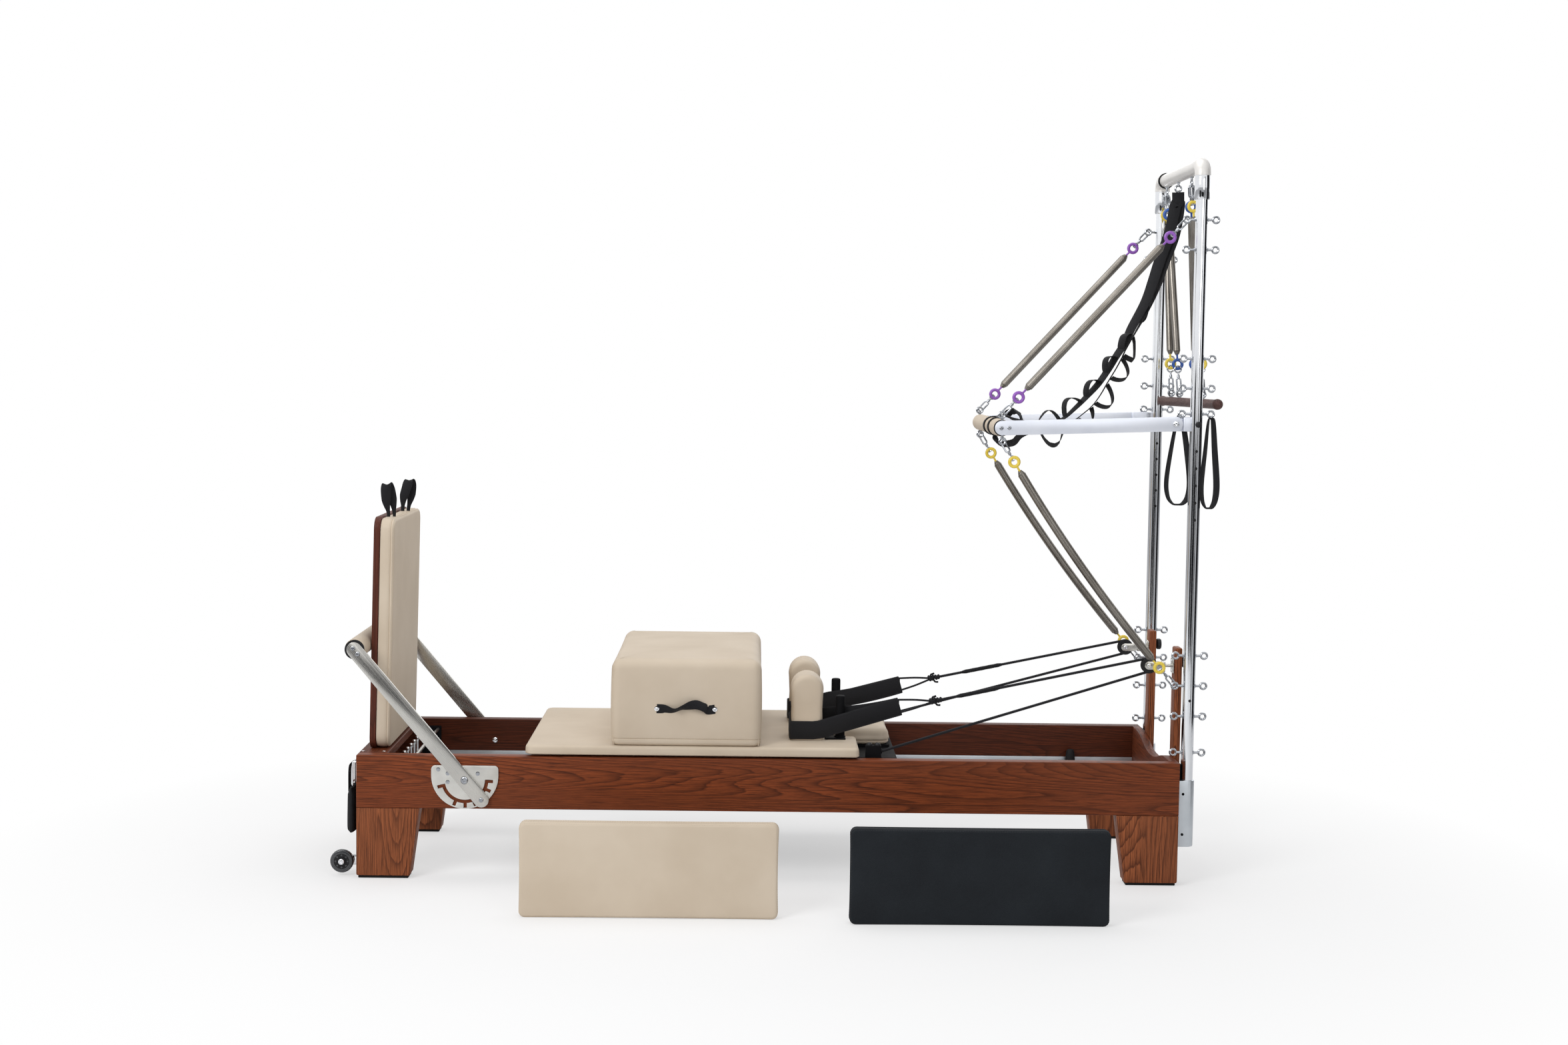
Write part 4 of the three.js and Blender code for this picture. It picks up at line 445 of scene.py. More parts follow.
def curve(points, steps=10):
    """Points along a smooth curve through the given ones."""
    points = [Vector(p) for p in points]
    padded = [2 * points[0] - points[1], *points, 2 * points[-1] - points[-2]]
    found = []
    for i in range(1, len(padded) - 2):
        a, b, c, d = padded[i - 1 : i + 3]
        for step in range(steps):
            t = step / steps
            bent = (2 * a - 5 * b + 4 * c - d) * t * t + (3 * b - a - 3 * c + d) * t**3
            found.append(0.5 * (2 * b + (c - a) * t + bent))
    return [*found, points[-1]]


WELD, DEGENERATE = 2e-6, 1e-7


def made(part, name, material, body="frame", node=None, angle=42, weld=True):
    """Turns a part into a piece that rides on its body and stands for its CAD node."""
    mesh = bpy.data.meshes.new(name)
    mesh.from_pydata([tuple(p) for p in part.points], [], part.faces)
    layer = mesh.uv_layers.new(name="UVMap")
    for loop in mesh.loops:
        layer.data[loop.index].uv = part.uvs[loop.vertex_index]
    bm = bmesh.new()
    bm.from_mesh(mesh)
    if weld:
        bmesh.ops.remove_doubles(bm, verts=bm.verts, dist=WELD)
    bmesh.ops.dissolve_degenerate(bm, dist=DEGENERATE, edges=bm.edges)
    bmesh.ops.recalc_face_normals(bm, faces=bm.faces)
    bm.to_mesh(mesh)
    bm.free()
    mesh.shade_smooth()
    mesh.set_sharp_from_angle(angle=radians(angle))
    mesh.materials.append(material)
    obj = linked(name, mesh)
    if body:
        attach(obj, body)
    if node:
        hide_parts(node)
    return obj


def flat_plate(part, outlines, thickness, bevel, matrix):
    """A plate drawn as outlines in its own plane, with holes, its faces square to local Z."""
    data = bpy.data.curves.new("outline", "CURVE")
    data.dimensions = "2D"
    data.fill_mode = "BOTH"
    data.extrude = thickness / 2 - bevel
    data.bevel_depth = bevel
    data.bevel_resolution = 1
    data.offset = -bevel
    for outline in outlines:
        spline = data.splines.new("POLY")
        spline.points.add(len(outline) - 1)
        for point, (x, y) in zip(spline.points, outline):
            point.co = (x, y, 0, 1)
        spline.use_cyclic_u = True
    holder = linked("outline", data)
    bpy.context.view_layer.update()
    mesh = bpy.data.meshes.new_from_object(holder.evaluated_get(bpy.context.evaluated_depsgraph_get()))
    part.add([matrix @ v.co for v in mesh.vertices], [list(p.vertices) for p in mesh.polygons])
    bpy.data.objects.remove(holder)
    bpy.data.meshes.remove(mesh)
    bpy.data.curves.remove(data)
    return part


def upright_plane(place, turn=0.0):
    """A plate's plane, standing in X and Z, facing -Y, turned in that plane."""
    return Matrix.Translation(place) @ Matrix.Rotation(-turn, 4, "Y") @ Matrix.Rotation(pi / 2, 4, "X")


def spread(start, end, steps):
    """Evenly spread angles, given in degrees."""
    return [radians(start + (end - start) * i / steps) for i in range(steps + 1)]


def arc(radius, start, end, steps, x=0.0, y=0.0):
    """Points round a centre, between two angles in degrees."""
    return [(x + radius * cos(a), y + radius * sin(a)) for a in spread(start, end, steps)]


def stadium(x0, x1, radius, steps=14):
    return arc(radius, -90, 90, steps, x1) + arc(radius, 90, 270, steps, x0)


def mirrored(profile, middle=()):
    """A profile, what lies in its middle, and the same profile backwards on the other side."""
    return [*profile, *middle, *((r, -h) for r, h in reversed(profile))]


def rounded_rectangle(width, height, radius, steps=6):
    """Corner points round a rectangle centred on its own middle, counter-clockwise."""
    outline = []
    for sx, sy, start in ((1, -1, -90), (1, 1, 0), (-1, 1, 90), (-1, -1, 180)):
        x, y = sx * (width / 2 - radius), sy * (height / 2 - radius)
        outline += arc(radius, start, start + 90, steps, x, y)
    return outline


def denser(outline, pitch):
    """The same outline with points no further apart than pitch."""
    found = []
    for i, (x, y) in enumerate(outline):
        nx, ny = outline[(i + 1) % len(outline)]
        steps = max(1, ceil(hypot(nx - x, ny - y) / pitch))
        found += [(x + (nx - x) * s / steps, y + (ny - y) * s / steps) for s in range(steps)]
    return found


def normals_of(outline):
    found = []
    for i in range(len(outline)):
        (ax, ay), (bx, by) = outline[i - 1], outline[(i + 1) % len(outline)]
        length = hypot(bx - ax, by - ay)
        found.append(((by - ay) / length, -(bx - ax) / length))
    return found


# A sewn seam: levels above and below it, and how far each is drawn in
SEAM = ((-0.003, 0.0), (-0.0012, 0.0005), (0.0, 0.0022), (0.0012, 0.0005), (0.003, 0.0))
SEAM_CLEAR, STITCH_OFF = 0.0035, 0.0055


def cushion(part, size, place, radius, edge, crown, seams, draw, belly, pitch=0.02):
    """A crowned pad: drawn-in sides with sewn seams, a soft rounded edge and a crown on top.
    Its width lies along local X, its length along local Y, and its foot at local Z zero.
    Gives the stitches beside its seams."""
    width, length, height = size
    outline = denser(rounded_rectangle(width, length, radius), pitch)
    normals = normals_of(outline)
    rim = height - crown - edge
    foot, steps = edge * 0.35, 6
    levels = [(0.0, edge * 0.35), (edge * 0.12, edge * 0.12), (foot, 0.0)]
    for i in range(1, steps):
        levels.append((foot + (rim - foot) * i / steps, -belly * sin(pi * i / steps)))
    for angle in spread(0, 90, 6):
        levels.append((rim + edge * sin(angle), edge * (1 - cos(angle))))
    for seam in seams:
        levels = [level for level in levels if abs(level[0] - seam) > SEAM_CLEAR]
        levels += [(seam + off, inset) for off, inset in SEAM]
    levels.sort()
    rings = []
    for z, inset in levels:
        ring = []
        fade = min(1.0, z / edge) * (1 if z < rim else max(0.0, 1 - (z - rim) / (edge + 1e-6)))
        for (x, y), (nx, ny) in zip(outline, normals):
            on_end = abs(abs(x) - width / 2) < 1e-6
            on_side = abs(abs(y) - length / 2) < 1e-6
            span = y / (length / 2 - radius) if on_end else x / (width / 2 - radius)
            pull = draw * max(0.0, 1 - span * span) * fade if on_end or on_side else 0.0
            ring.append((x - nx * (inset + pull), y - ny * (inset + pull), z))
        rings.append(ring)
    for share in (0.96, 0.9, 0.8, 0.65, 0.45, 0.22, 0.02):
        rise = crown * (1 - share**2.4)
        rings.append([(x * share, y * share, z + rise) for x, y, z in rings[len(levels) - 1]])
    part.rings([[place @ Vector(p) for p in ring] for ring in rings])
    thread = Part()
    proud = 0.0001
    for seam in seams:
        for off in (-STITCH_OFF, STITCH_OFF):
            row = rings[min(range(len(levels)), key=lambda i: abs(levels[i][0] - seam - off))]
            line = [place @ Vector((x + nx * proud, y + ny * proud, z)) for (x, y, z), (nx, ny) in zip(row, normals)]
            stitches(thread, line, 0.0045, 0.0022, 0.0004)
    return thread


def upholstered(name, stitched, body, node, size, place, shape, material=CREAM, thread=THREAD):
    """A cushion and its stitches."""
    pad = Part()
    made(cushion(pad, size, place, *shape), stitched, thread, body, None, 60, False)
    made(pad, name, material, body, node, 60, True)


def stitches(part, path, long=0.0034, gap=0.0016, thick=0.00035):
    """A row of thread stitches round a closed line of points."""
    path = [Vector(p) for p in path]
    path.append(path[0])
    lengths = [0.0]
    for a, b in zip(path, path[1:]):
        lengths.append(lengths[-1] + (b - a).length)
    spot = 0
    for i in range(int(lengths[-1] / (long + gap))):
        ends = []
        for place in (i * (long + gap), i * (long + gap) + long):
            while spot < len(path) - 2 and lengths[spot + 1] < place:
                spot += 1
            share = (place - lengths[spot]) / max(1e-9, lengths[spot + 1] - lengths[spot])
            ends.append(path[spot].lerp(path[spot + 1], share))
        if (ends[1] - ends[0]).length > 1e-4:
            part.tube([ends[0], ends[0].lerp(ends[1], 0.5), ends[1]], [thick * 0.7, thick, thick * 0.7], 5)


def bolt(part, place, axis, radius, height, sides=24):
    """A domed screw head with a socket in it."""
    profile = (
        (0.2, 0.0), (1.0, 0.0), (1.0, 0.45), (0.86, 0.82), (0.55, 1.0), (0.42, 1.0), (0.38, 0.45), (0.02, 0.4),
    )
    return part.lathe([(radius * r, height * h) for r, h in profile], place, axis, sides)


def nut(part, place, axis, inner, outer, height, start=0.0):
    """A six-sided nut on a stem."""
    end = start + height
    return part.lathe([(inner, start), (outer, start), (outer, end), (inner, end)], place, axis, 6)


def ring(part, centre, radius, wire, across, sides=10, steps=28):
    """A closed round ring lying square to the direction across."""
    across = Vector(across).normalized()
    wide = across.orthogonal().normalized()
    tall = across.cross(wide)
    angles = [2 * pi * i / steps for i in range(steps)]
    return part.tube([centre + radius * (cos(a) * wide + sin(a) * tall) for a in angles], wire, sides, True)


def eyebolt(part, root, way, reach, across):
    """A stem from root that ends in a ring, whose centre is reach away."""
    radius, wire = 0.0090, 0.0032
    way = Vector(way).normalized()
    centre = root + way * reach
    part.tube([root, centre - way * radius], wire * 1.15, 10)
    ring(part, centre, radius, wire, across, 8, 24)


# Frame
def build_frame():
    track_inside, track_foot = 0.3047, 0.2185
    stop = ((0.0165, 0.018), (0.0160, 0.030), (0.0140, 0.055), (0.0125, 0.064), (0.009, 0.070), (0.001, 0.0715))
    for side, y in SIDES:
        rail = Part().box(*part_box(side + "_rail"), 0.003, 3)
        # The far rail takes the darker copy of the oak: painted shade.
        made(rail, side + "_rail_board", WOOD_X if y < 0 else WOOD_FAR_PAINTED_SHADE, node=side + "_rail")
        low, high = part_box(side + "_track")
        bar = Part().box(low, (high.x, high.y, 0.219), 0.001)
        bar.box(at(-1.040, y * track_inside, track_foot), at(1.1747, y * RAIL_INSIDE, 0.262), 0.0008)
        for x in (-0.62, 0.42, 1.02):
            bolt(bar, at(x, y * track_inside, 0.241), (0, -y, 0), 0.005, 0.002)
        made(bar, side + "_track_bar", ALLOY, node=side + "_track")
        stops = Part()
        for x in (-0.7133, 0.973):
            foot = at(x, y * 0.2902, track_foot)
            stops.box(moved(foot, -0.013, -0.0175), moved(foot, 0.013, 0.0175, 0.022), 0.003)
            stops.lathe(stop, foot, "z", 28)
        made(stops, side + "_track_stops", RUBBER)
    build_end_boards()
    screws = Part()
    for _, y in SIDES:
        bolt(screws, at(-0.873, y * 0.308, 0.296), (0, -y, 0), 0.009, 0.005)
        for x in (-1.19, -1.13):
            bolt(screws, at(x, y * 0.285, 0.3628), "z", 0.005, 0.0015)
    made(screws, "frame_screws", CHROME)


def build_end_boards():
    """The platform at the foot end and the panel at the head end, with a dip in its upper edge."""
    foot, edge, low = 0.208, 0.363, 0.329
    board = Part().box(at(-RAIL_END, -RAIL_INSIDE, foot), at(-1.175, RAIL_INSIDE, 0.339))
    board.box(at(-RAIL_END, -RAIL_INSIDE, 0.338), at(-1.115, RAIL_INSIDE, edge), 0.003, 3)
    made(board, "foot_platform", WOOD_Y, node="foot_end_board")
    dip = []
    for i in range(25):
        t, u = i / 24, 1 - i / 24
        y = -0.262 * u**3 - 3 * 0.131 * u * u * t - 3 * 0.131 * u * t * t
        dip.append((y, edge * (u**3 + 3 * u * u * t) + low * (3 * u * t * t + t**3)))
    outline = [(-RAIL_INSIDE, foot), (RAIL_INSIDE, foot), (RAIL_INSIDE, edge)]
    outline += [(-y, z) for y, z in dip[:-1]] + dip[::-1] + [(-RAIL_INSIDE, edge)]
    panel = flat_plate(Part(), [outline], 0.025, 0.002, Matrix.Translation(at(1.1875, 0, 0)) @ FACING_X)
    made(panel, "head_panel", WOOD_Y, node="head_end_panel", angle=30)


def build_legs():
    top, outer, inner, low, bend = 0.2077, 1.195, 1.049, 0.013, 0.005
    shape = [(RAIL_END, top), *arc(bend, 0, -90, 6, outer, low), *arc(bend, -90, -180, 6, inner, low), (1.017, top)]
    for end, way in (("foot", -1), ("head", 1)):
        for side, y in SIDES:
            name, middle = end + "_" + side + "_leg", y * LEG_Y
            outline = [(way * x, z) for x, z in shape]
            leg = flat_plate(Part(), [outline], 0.07, 0.003, upright_plane(at(0, middle, 0)))
            made(leg, name + "_post", WOOD_Z, node=name, angle=30)
            pad = Part().box(at(way * outer, middle - 0.030, 0), at(way * inner, middle + 0.030, 0.0085))
            made(pad, name + "_pad", RUBBER)


def build_transport():
    x, z = -1.247, 0.043
    for side, y in SIDES:
        body, centre = side + "_transport", at(x, y * LEG_Y, z)
        arm = Part().box(at(-1.257, y * 0.3004, 0.028), at(-1.199, y * 0.2944, 0.058), 0.003, 3)
        arm.tube([at(x, y * 0.2994, z), at(x, y * 0.3312, z)], 0.005, 20)
        bolt(arm, at(x, y * 0.3296, z), (0, y, 0), 0.009, 0.004)
        made(arm, side + "_wheel_arm", CHROME)
        tread = mirrored([(0.0225, -0.0095), (0.030, -0.0098), (0.0325, -0.0085), (0.034, -0.005)])
        made(Part().lathe(tread, centre, "y", 56, True), body + "_tyre", TYRE, body, body + "_wheel")
        core = mirrored([(0.0057, -0.0138), (0.0125, -0.0138), (0.0125, -0.0102), (0.0222, -0.0088)])
        made(Part().lathe(core, centre, "y", 40, True), body + "_hub", BLACK, body)
        studs = Part()
        for i in range(8):
            spot = moved(centre, 0.0178 * cos(pi * i / 4), 0, 0.0178 * sin(pi * i / 4))
            studs.lathe(mirrored([(0.0002, -0.0098), (0.0028, -0.0098)]), spot, "y", 12)
        made(studs, body + "_studs", TYRE, body)


def build_pouch():
    hang, middle, wire = -1.2185, -0.280, 0.0025
    hook = Part()
    for y in (-0.300, -0.260):
        drop = ((-1.199, 0.332), (-1.214, 0.333), (hang, 0.326), (hang, 0.262))
        hook.tube(curve([at(x, y, z) for x, z in drop], 6), wire, 10)
    hook.tube([at(hang, -0.300, 0.275), at(hang, -0.260, 0.275)], wire, 10)
    hook.box(at(-1.2035, -0.306, 0.322), at(-1.199, -0.254, 0.342), 0.0015)
    made(hook, "pouch_hook", CHROME)
    rows, sides, top, height = 22, 40, 0.262, 0.132
    rings = []
    for i in range(rows + 1):
        share = i / rows
        fat = 0.0156 * min(1.0, 0.45 + 3.2 * share) * (1 - max(0.0, (share - 0.93) / 0.07) ** 2 * 0.5)
        half = 0.0545 - 0.006 * (1 - share) ** 2 - 0.004 * max(0, share - 0.85) / 0.15
        row = []
        for j in range(sides):
            angle = 2 * pi * j / sides
            fold = 1 - 0.09 * (1 + sin(5 * angle + 3 * share)) * (1 - share * 0.5)
            wide = half * copysign(abs(cos(angle)) ** 0.7, cos(angle))
            row.append(at(hang + fat * sin(angle) * fold, middle + wide, top - height * share))
        rings.append(row)
    sling = ((-0.004, 0.330), (-0.010, 0.322), (-0.0122, 0.300), (-0.0122, 0.245))
    bag = Part().rings(rings)
    bag.strap(curve([at(hang + x, middle, z) for x, z in sling], 6), AXES["y"], 0.036, 0.003)
    made(bag, "hanging_pouch", POUCH, angle=60)


def build_spring_bar():
    bar = Part().box(at(-1.105, -RAIL_INSIDE, 0.235), at(-1.085, RAIL_INSIDE, 0.250), 0.0015)
    bar.tube([at(-1.055, y * RAIL_INSIDE, 0.330) for _, y in SIDES], 0.005, 20)
    made(bar, "spring_bar_rail", STEEL, node="spring_bar")
    # These end plates are drawn black as painted shade, to match the deep shade at the foot end of the frame.
    ends = Part()
    for _, y in SIDES:
        ends.box(at(-1.105, y * 0.3017, 0.235), at(-1.045, y * RAIL_INSIDE, 0.340))
    made(ends, "spring_bar_ends_painted_shade", BLACK_METAL)
    pegs = Part()
    peg = (
        (0.004, 0.249), (0.004, 0.322), (0.0055, 0.3245), (0.007, 0.330), (0.0055, 0.3355), (0.002, 0.3372),
        (0.0002, 0.3374),
    )
    for y in SPRING_ROWS:
        pegs.lathe(peg, at(-1.095, y, 0), "z", 24)
        pegs.lathe([(0.0075, 0.249), (0.0075, 0.254), (0.005, 0.255)], at(-1.095, y, 0), "z", 6)
    made(pegs, "spring_pegs", CHROME)


# Footbar
PIVOT = at(-0.884, 0, 0.294)
ROLL_REACH, ARM_BACK = 0.4946, -0.0753


def along_bar(reach, y):
    """A place beside the footbar's arm, so far up it from the pivot."""
    return moved(PIVOT, reach * cos(BAR_ANGLE), y, reach * sin(BAR_ANGLE))


def quadrant_slot():
    """The notched slot of a quadrant plate, in X and Z round the pivot."""
    inner, outer, reach, half = 0.0585, 0.0685, 0.082, 0.0048
    low, edge = sqrt(outer**2 - half**2), degrees(half / outer)
    notches = (-164.5, -113, -89, -67, -49.8, -24, -3)
    points = []
    for before, notch in zip((None, *notches), notches):
        if before is not None:
            points += arc(outer, before + edge, notch - edge, 6)[1:-1]
        c, s = cos(radians(notch)), sin(radians(notch))
        for far, way in ((low, 1), (reach, 1), (reach, -1), (low, -1)):
            points.append((far * c + way * half * s, far * s - way * half * c))
    return points + arc(inner, notches[-1] + 4, notches[0] - 4, 30)


def build_footbar():
    corner, corner_x, corner_z = 0.012, 0.0855, 0.030
    outline = arc(0.0975, 180, 360, 36, 0, 0.0125)
    outline += arc(corner, 0, 90, 6, corner_x, corner_z) + arc(corner, 90, 180, 6, -corner_x, corner_z)
    outlines = [outline, quadrant_slot()]
    for side, y in SIDES:
        outward = (0, y, 0)
        plate = flat_plate(Part(), outlines, 0.005, 0.0006, upright_plane(moved(PIVOT, 0, y * 0.3528)))
        made(plate, side + "_quadrant", PLATE, node=side + "_quadrant_plate", angle=30)
        screws = Part()
        for x, z in ((-0.9335, 0.3125), (-0.9335, 0.2870), (-0.8465, 0.3125), (-0.9610, 0.3240)):
            bolt(screws, at(x, y * 0.3553, z), outward, 0.0062, 0.0005)
        bolt(screws, moved(PIVOT, 0, y * 0.3625), outward, 0.011, 0.005)
        made(screws, side + "_quadrant_screws", FITTING)
        plane = upright_plane(moved(PIVOT, 0, y * 0.3589), BAR_ANGLE)
        arm = flat_plate(Part(), [stadium(ARM_BACK, ROLL_REACH, 0.022)], 0.006, 0.0008, plane)
        made(arm, side + "_bar_arm", ARM_STEEL, "footbar", side + "_footbar_arm", 30)
        heads = Part()
        for reach in (0.5005, 0.4790, ARM_BACK):
            bolt(heads, along_bar(reach, y * 0.3619), outward, 0.0068, 0.0036)
        made(heads, side + "_bar_screws", FITTING, "footbar")
        face = ((0.001, 0.0), (0.0265, 0.0), (0.0285, 0.0012), (0.0285, 0.0052), (0.001, 0.0052))
        disc = Part().lathe(face, along_bar(ROLL_REACH, y * 0.3504), outward, 48)
        made(disc, side + "_roll_disc", BLACK, "footbar")
    centre, half = along_bar(ROLL_REACH, 0), 0.345
    waist = [(0.030 - 0.0004 * sin(pi * i / 24) ** 2, 2 * half * i / 24 - half) for i in range(1, 24)]
    profile = mirrored([(0.001, -0.350), (0.0255, -0.350), (0.0285, -0.3485), (0.030, -half)], waist)
    roll = Part().lathe(profile, centre, "y", 48)
    made(roll, "bar_roll", CREAM, "footbar", "footbar_roll")
    seam = [moved(centre, 0.0292 * cos(-1.1), y * half, 0.0292 * sin(-1.1)) for _, y in SIDES]
    made(Part().tube(seam, 0.0009, 8), "bar_roll_seam", CREAM, "footbar")


# Tower
PUSH = at(1.168, 0, 1.353)
TILT = radians(2.04)
GRIP = -0.505


def on_push(x, y, z):
    """A place in the level push-through bar, as it lies tilted down."""
    return moved(PUSH, x * cos(TILT) - z * sin(TILT), y, x * sin(TILT) + z * cos(TILT))


def build_tower():
    plan = arc(0.0225, -90, 90, 16, 0.0268)
    plan += arc(0.002, 90, 180, 4, 0.002, 0.0205) + arc(0.002, 180, 270, 4, 0.002, -0.0205)
    elbow = (
        (0.0182, 2.001), (0.0205, 2.001), (0.0222, 2.004), (0.0222, 2.030), (0.0226, 2.033), (0.0226, 2.070),
        (0.0205, 2.0738), (0.012, 2.0738),
    )
    for side, y in SIDES:
        own = y * UPRIGHT_Y
        block = flat_plate(Part(), [plan], 0.196, 0.002, Matrix.Translation(at(HEAD_FACE, own, 0.211)))
        block.box(at(HEAD_FACE, own - 0.0228, 0.118), at(1.2035, own + 0.0228, 0.304), 0.001)
        made(block, side + "_socket_block", ALLOY, node=side + "_socket")
        # A black block fills the gap above the socket, between the head face and the upright tube; two black discs sit
        # on the socket's outer side.
        black_parts = Part().box(at(HEAD_FACE, own - 0.010, 0.308), at(1.2087, own + 0.010, 0.356), 0.0015)
        for z in (0.150, 0.270):
            flat = ((0.001, 0), (0.004, 0), (0.004, 0.0012), (0.001, 0.0015))
            black_parts.lathe(flat, at(1.2140, y * 0.3332, z), (0, y, 0), 20)
        made(black_parts, side + "_socket_black_parts", BLACK_METAL)
        axis = at(UPRIGHT_X, own, 0)
        tube = Part().lathe([(0.0155, 0.1173), (0.018, 0.1173), (0.018, 2.0035), (0.0155, 2.0035)], axis, "z", 48)
        made(tube.lathe(elbow, axis, "z", 48), side + "_upright_tube", CHROME, node=side + "_upright")
        eyes = Part()
        for height in LOW_EYES + HIGH_EYES:
            for way in (-1, 1):
                root = at(UPRIGHT_X + way * 0.0165, own, height)
                eyebolt(eyes, root, (way, 0, 0), 0.0255, AXES["y"])
                nut(eyes, moved(root, way * 0.001), (way, 0, 0), 0.0025, 0.0052, 0.0035)
        made(eyes, side + "_eyebolts", FITTING)
        # Black discs on the tube stand for its holes: painted shade for the dark inside of each hole.
        holes = Part()
        for height in UPRIGHT_HOLES + ((0.545,) if y < 0 else ()):
            spot = ((0.0001, 0.0), (0.0042, 0.0), (0.0042, 0.0006), (0.0001, 0.0007))
            holes.lathe(spot, at(UPRIGHT_X, own - 0.0179, height), (0, -1, 0), 18)
        made(holes, side + "_upright_hole_shade", HOLE_PAINTED_SHADE)
        build_bracket(side, y)
    build_crossbar()


def build_crossbar():
    bend, thick, thin = 0.026, 0.0232, 0.0205
    corner = arc(bend, 0, 90, 12, UPRIGHT_Y - bend, CROSSBAR_Z - bend)
    half = [at(UPRIGHT_X, UPRIGHT_Y, 2.0700)] + [at(UPRIGHT_X, y, z) for y, z in corner]
    half += [at(UPRIGHT_X, y, CROSSBAR_Z) for y in (0.274, 0.262, 0.2615)]
    level = [at(UPRIGHT_X, y, CROSSBAR_Z) for y in (0.26, 0.1, 0.0, -0.1, -0.26)]
    other = [Vector((p.x, 2 * MIDDLE.y - p.y, p.z)) for p in reversed(half)]
    radii = [thick] * len(half) + [thin] * len(level) + [thick] * len(half)
    made(Part().tube(half + level + other, radii, 36), "crossbar_tube", PAINTED, node="top_crossbar")
    profile = mirrored([(0.0200, -0.006), (0.0236, -0.006), (0.0246, -0.003)])
    made(Part().lathe(profile, at(UPRIGHT_X, 0.255, CROSSBAR_Z), "y", 40), "crossbar_band", RUBBER)
    eyes = Part()
    low = CROSSBAR_Z - CROSSBAR_EYE_DROP
    for y, across in ((NEAR_HANG, "x"), (STRAP_HANG, "y"), (FAR_HANG, "x")):
        root = at(UPRIGHT_X, y, CROSSBAR_Z - 0.0165)
        eyebolt(eyes, root, (0, 0, -1), 0.0235, AXES[across])
        nut(eyes, root, (0, 0, -1), 0.003, 0.006, 0.004, 0.003)
        if y != STRAP_HANG:
            bow = ((-0.017, -0.003), (-0.012, -0.001), (0, 0.001), (0.012, -0.001), (0.017, -0.003))
            eyes.tube(curve([at(UPRIGHT_X, y + out, low + rise) for out, rise in bow], 4), 0.0024, 10)
    made(eyes, "crossbar_eyes", FITTING)


def build_bracket(side, y):
    """What carries the push-through bar's arm on its upright."""
    inner, tongue, outer = (y * (UPRIGHT_Y + off) for off in (-0.0066, -0.0126, 0.006))
    foot, top, axle = 1.332, 1.374, 1.353
    bracket = Part().box(at(1.147, inner, foot), at(1.213, tongue, top), 0.003, 3)
    bracket.box(at(1.1896, tongue, foot), at(1.213, outer, top), 0.003, 3)
    made(bracket, side + "_push_bracket", PALE)
    metal = Part().tube([moved(PUSH, 0, y * 0.303), moved(PUSH, 0, y * 0.3185)], 0.005, 20)
    bolt(metal, moved(PUSH, 0, y * 0.3176), (0, y, 0), 0.009, 0.004)
    metal.tube([at(UPRIGHT_X, y * UPRIGHT_Y, axle), at(UPRIGHT_X, y * 0.340, axle)], 0.005, 16)
    made(metal, side + "_push_bolt", CHROME)
    profile = (
        (0.002, 0.0), (0.0065, 0.0), (0.0075, 0.002), (0.0085, 0.004), (0.009, 0.008), (0.008, 0.0122),
        (0.005, 0.0138), (0.0004, 0.014),
    )
    knob = Part().lathe(profile, at(UPRIGHT_X, y * 0.338, axle), (0, y, 0), 28)
    made(knob, side + "_pull_knob", BLACK)


def build_push_bar():
    for side, y in SIDES:
        plane = upright_plane(moved(PUSH, 0, y * UPRIGHT_Y), TILT)
        arm = flat_plate(Part(), [stadium(GRIP, 0.0, 0.021)], 0.012, 0.0015, plane)
        made(arm, side + "_arm", PALE, "push_bar", side + "_push_arm", 30)
        metal = Part()
        for x in (-0.508, -0.485):
            bolt(metal, on_push(x, y * 0.3170, 0), (0, y, 0), 0.006, 0.0026)
        for way in (-1, 1):
            eyebolt(metal, on_push(GRIP, y * UPRIGHT_Y, way * 0.0195), on_push(0, 0, way) - PUSH, 0.0185, AXES["y"])
        made(metal, side + "_arm_fittings", FITTING, "push_bar")
        face = ((0.001, 0.0), (0.0225, 0.0), (0.0238, 0.001), (0.0238, 0.004), (0.001, 0.004))
        disc = Part().lathe(face, on_push(GRIP, y * 0.3005, 0), (0, y, 0), 40)
        made(disc, side + "_grip_disc", BLACK, "push_bar")
    radius, half = 0.025, 0.295
    straight = [(radius, 2 * half * i / 16 - half) for i in range(1, 16)]
    profile = mirrored([(0.001, -0.3005), (0.0215, -0.3005), (0.0242, -0.299), (radius, -half)], straight)
    grip = Part().lathe(profile, on_push(GRIP, 0, 0), "y", 44)
    made(grip, "push_grip", CREAM, "push_bar", "push_bar_grip")


# Springs
SKEW = radians(6.95)
SPRING_WIRE = 0.0013
# From the eye beyond its hook: where the coil and its core begin, and which points the core keeps
COIL_CLEAR, CORE_CLEAR, KEEP_CLEAR = 0.030, 0.042, 0.05
# Each roll-down spring: its name, its place on the bar, where it hangs from, and its rings' colour
ROLL_SPRINGS = (
    ("near_outer", -0.125, NEAR_HANG - 0.012, YELLOW), ("near_inner", -0.062, NEAR_HANG + 0.012, BLUE),
    ("far_inner", 0.095, FAR_HANG - 0.012, BLUE), ("far_outer", 0.176, FAR_HANG + 0.012, YELLOW),
)


def on_roll(along, rise):
    """A place in the roll-down bar, which hangs a little skew to the crossbar."""
    return moved(at(1.266, -0.005, 1.411), -along * sin(SKEW), along * cos(SKEW), rise)


def spring_line(start, end, bow, steps=96):
    """Points from one eye to the other, bowed square to Y."""
    along = end - start
    lift = along.cross(AXES["y"]).normalized()
    shares = [i / steps for i in range(steps + 1)]
    return [start + along * share + lift * (4 * bow * share * (1 - share)) for share in shares]


def lengths_along(line):
    """How far along a line of points each of them lies."""
    found = [0.0]
    for a, b in zip(line, line[1:]):
        found.append(found[-1] + (b - a).length)
    return found


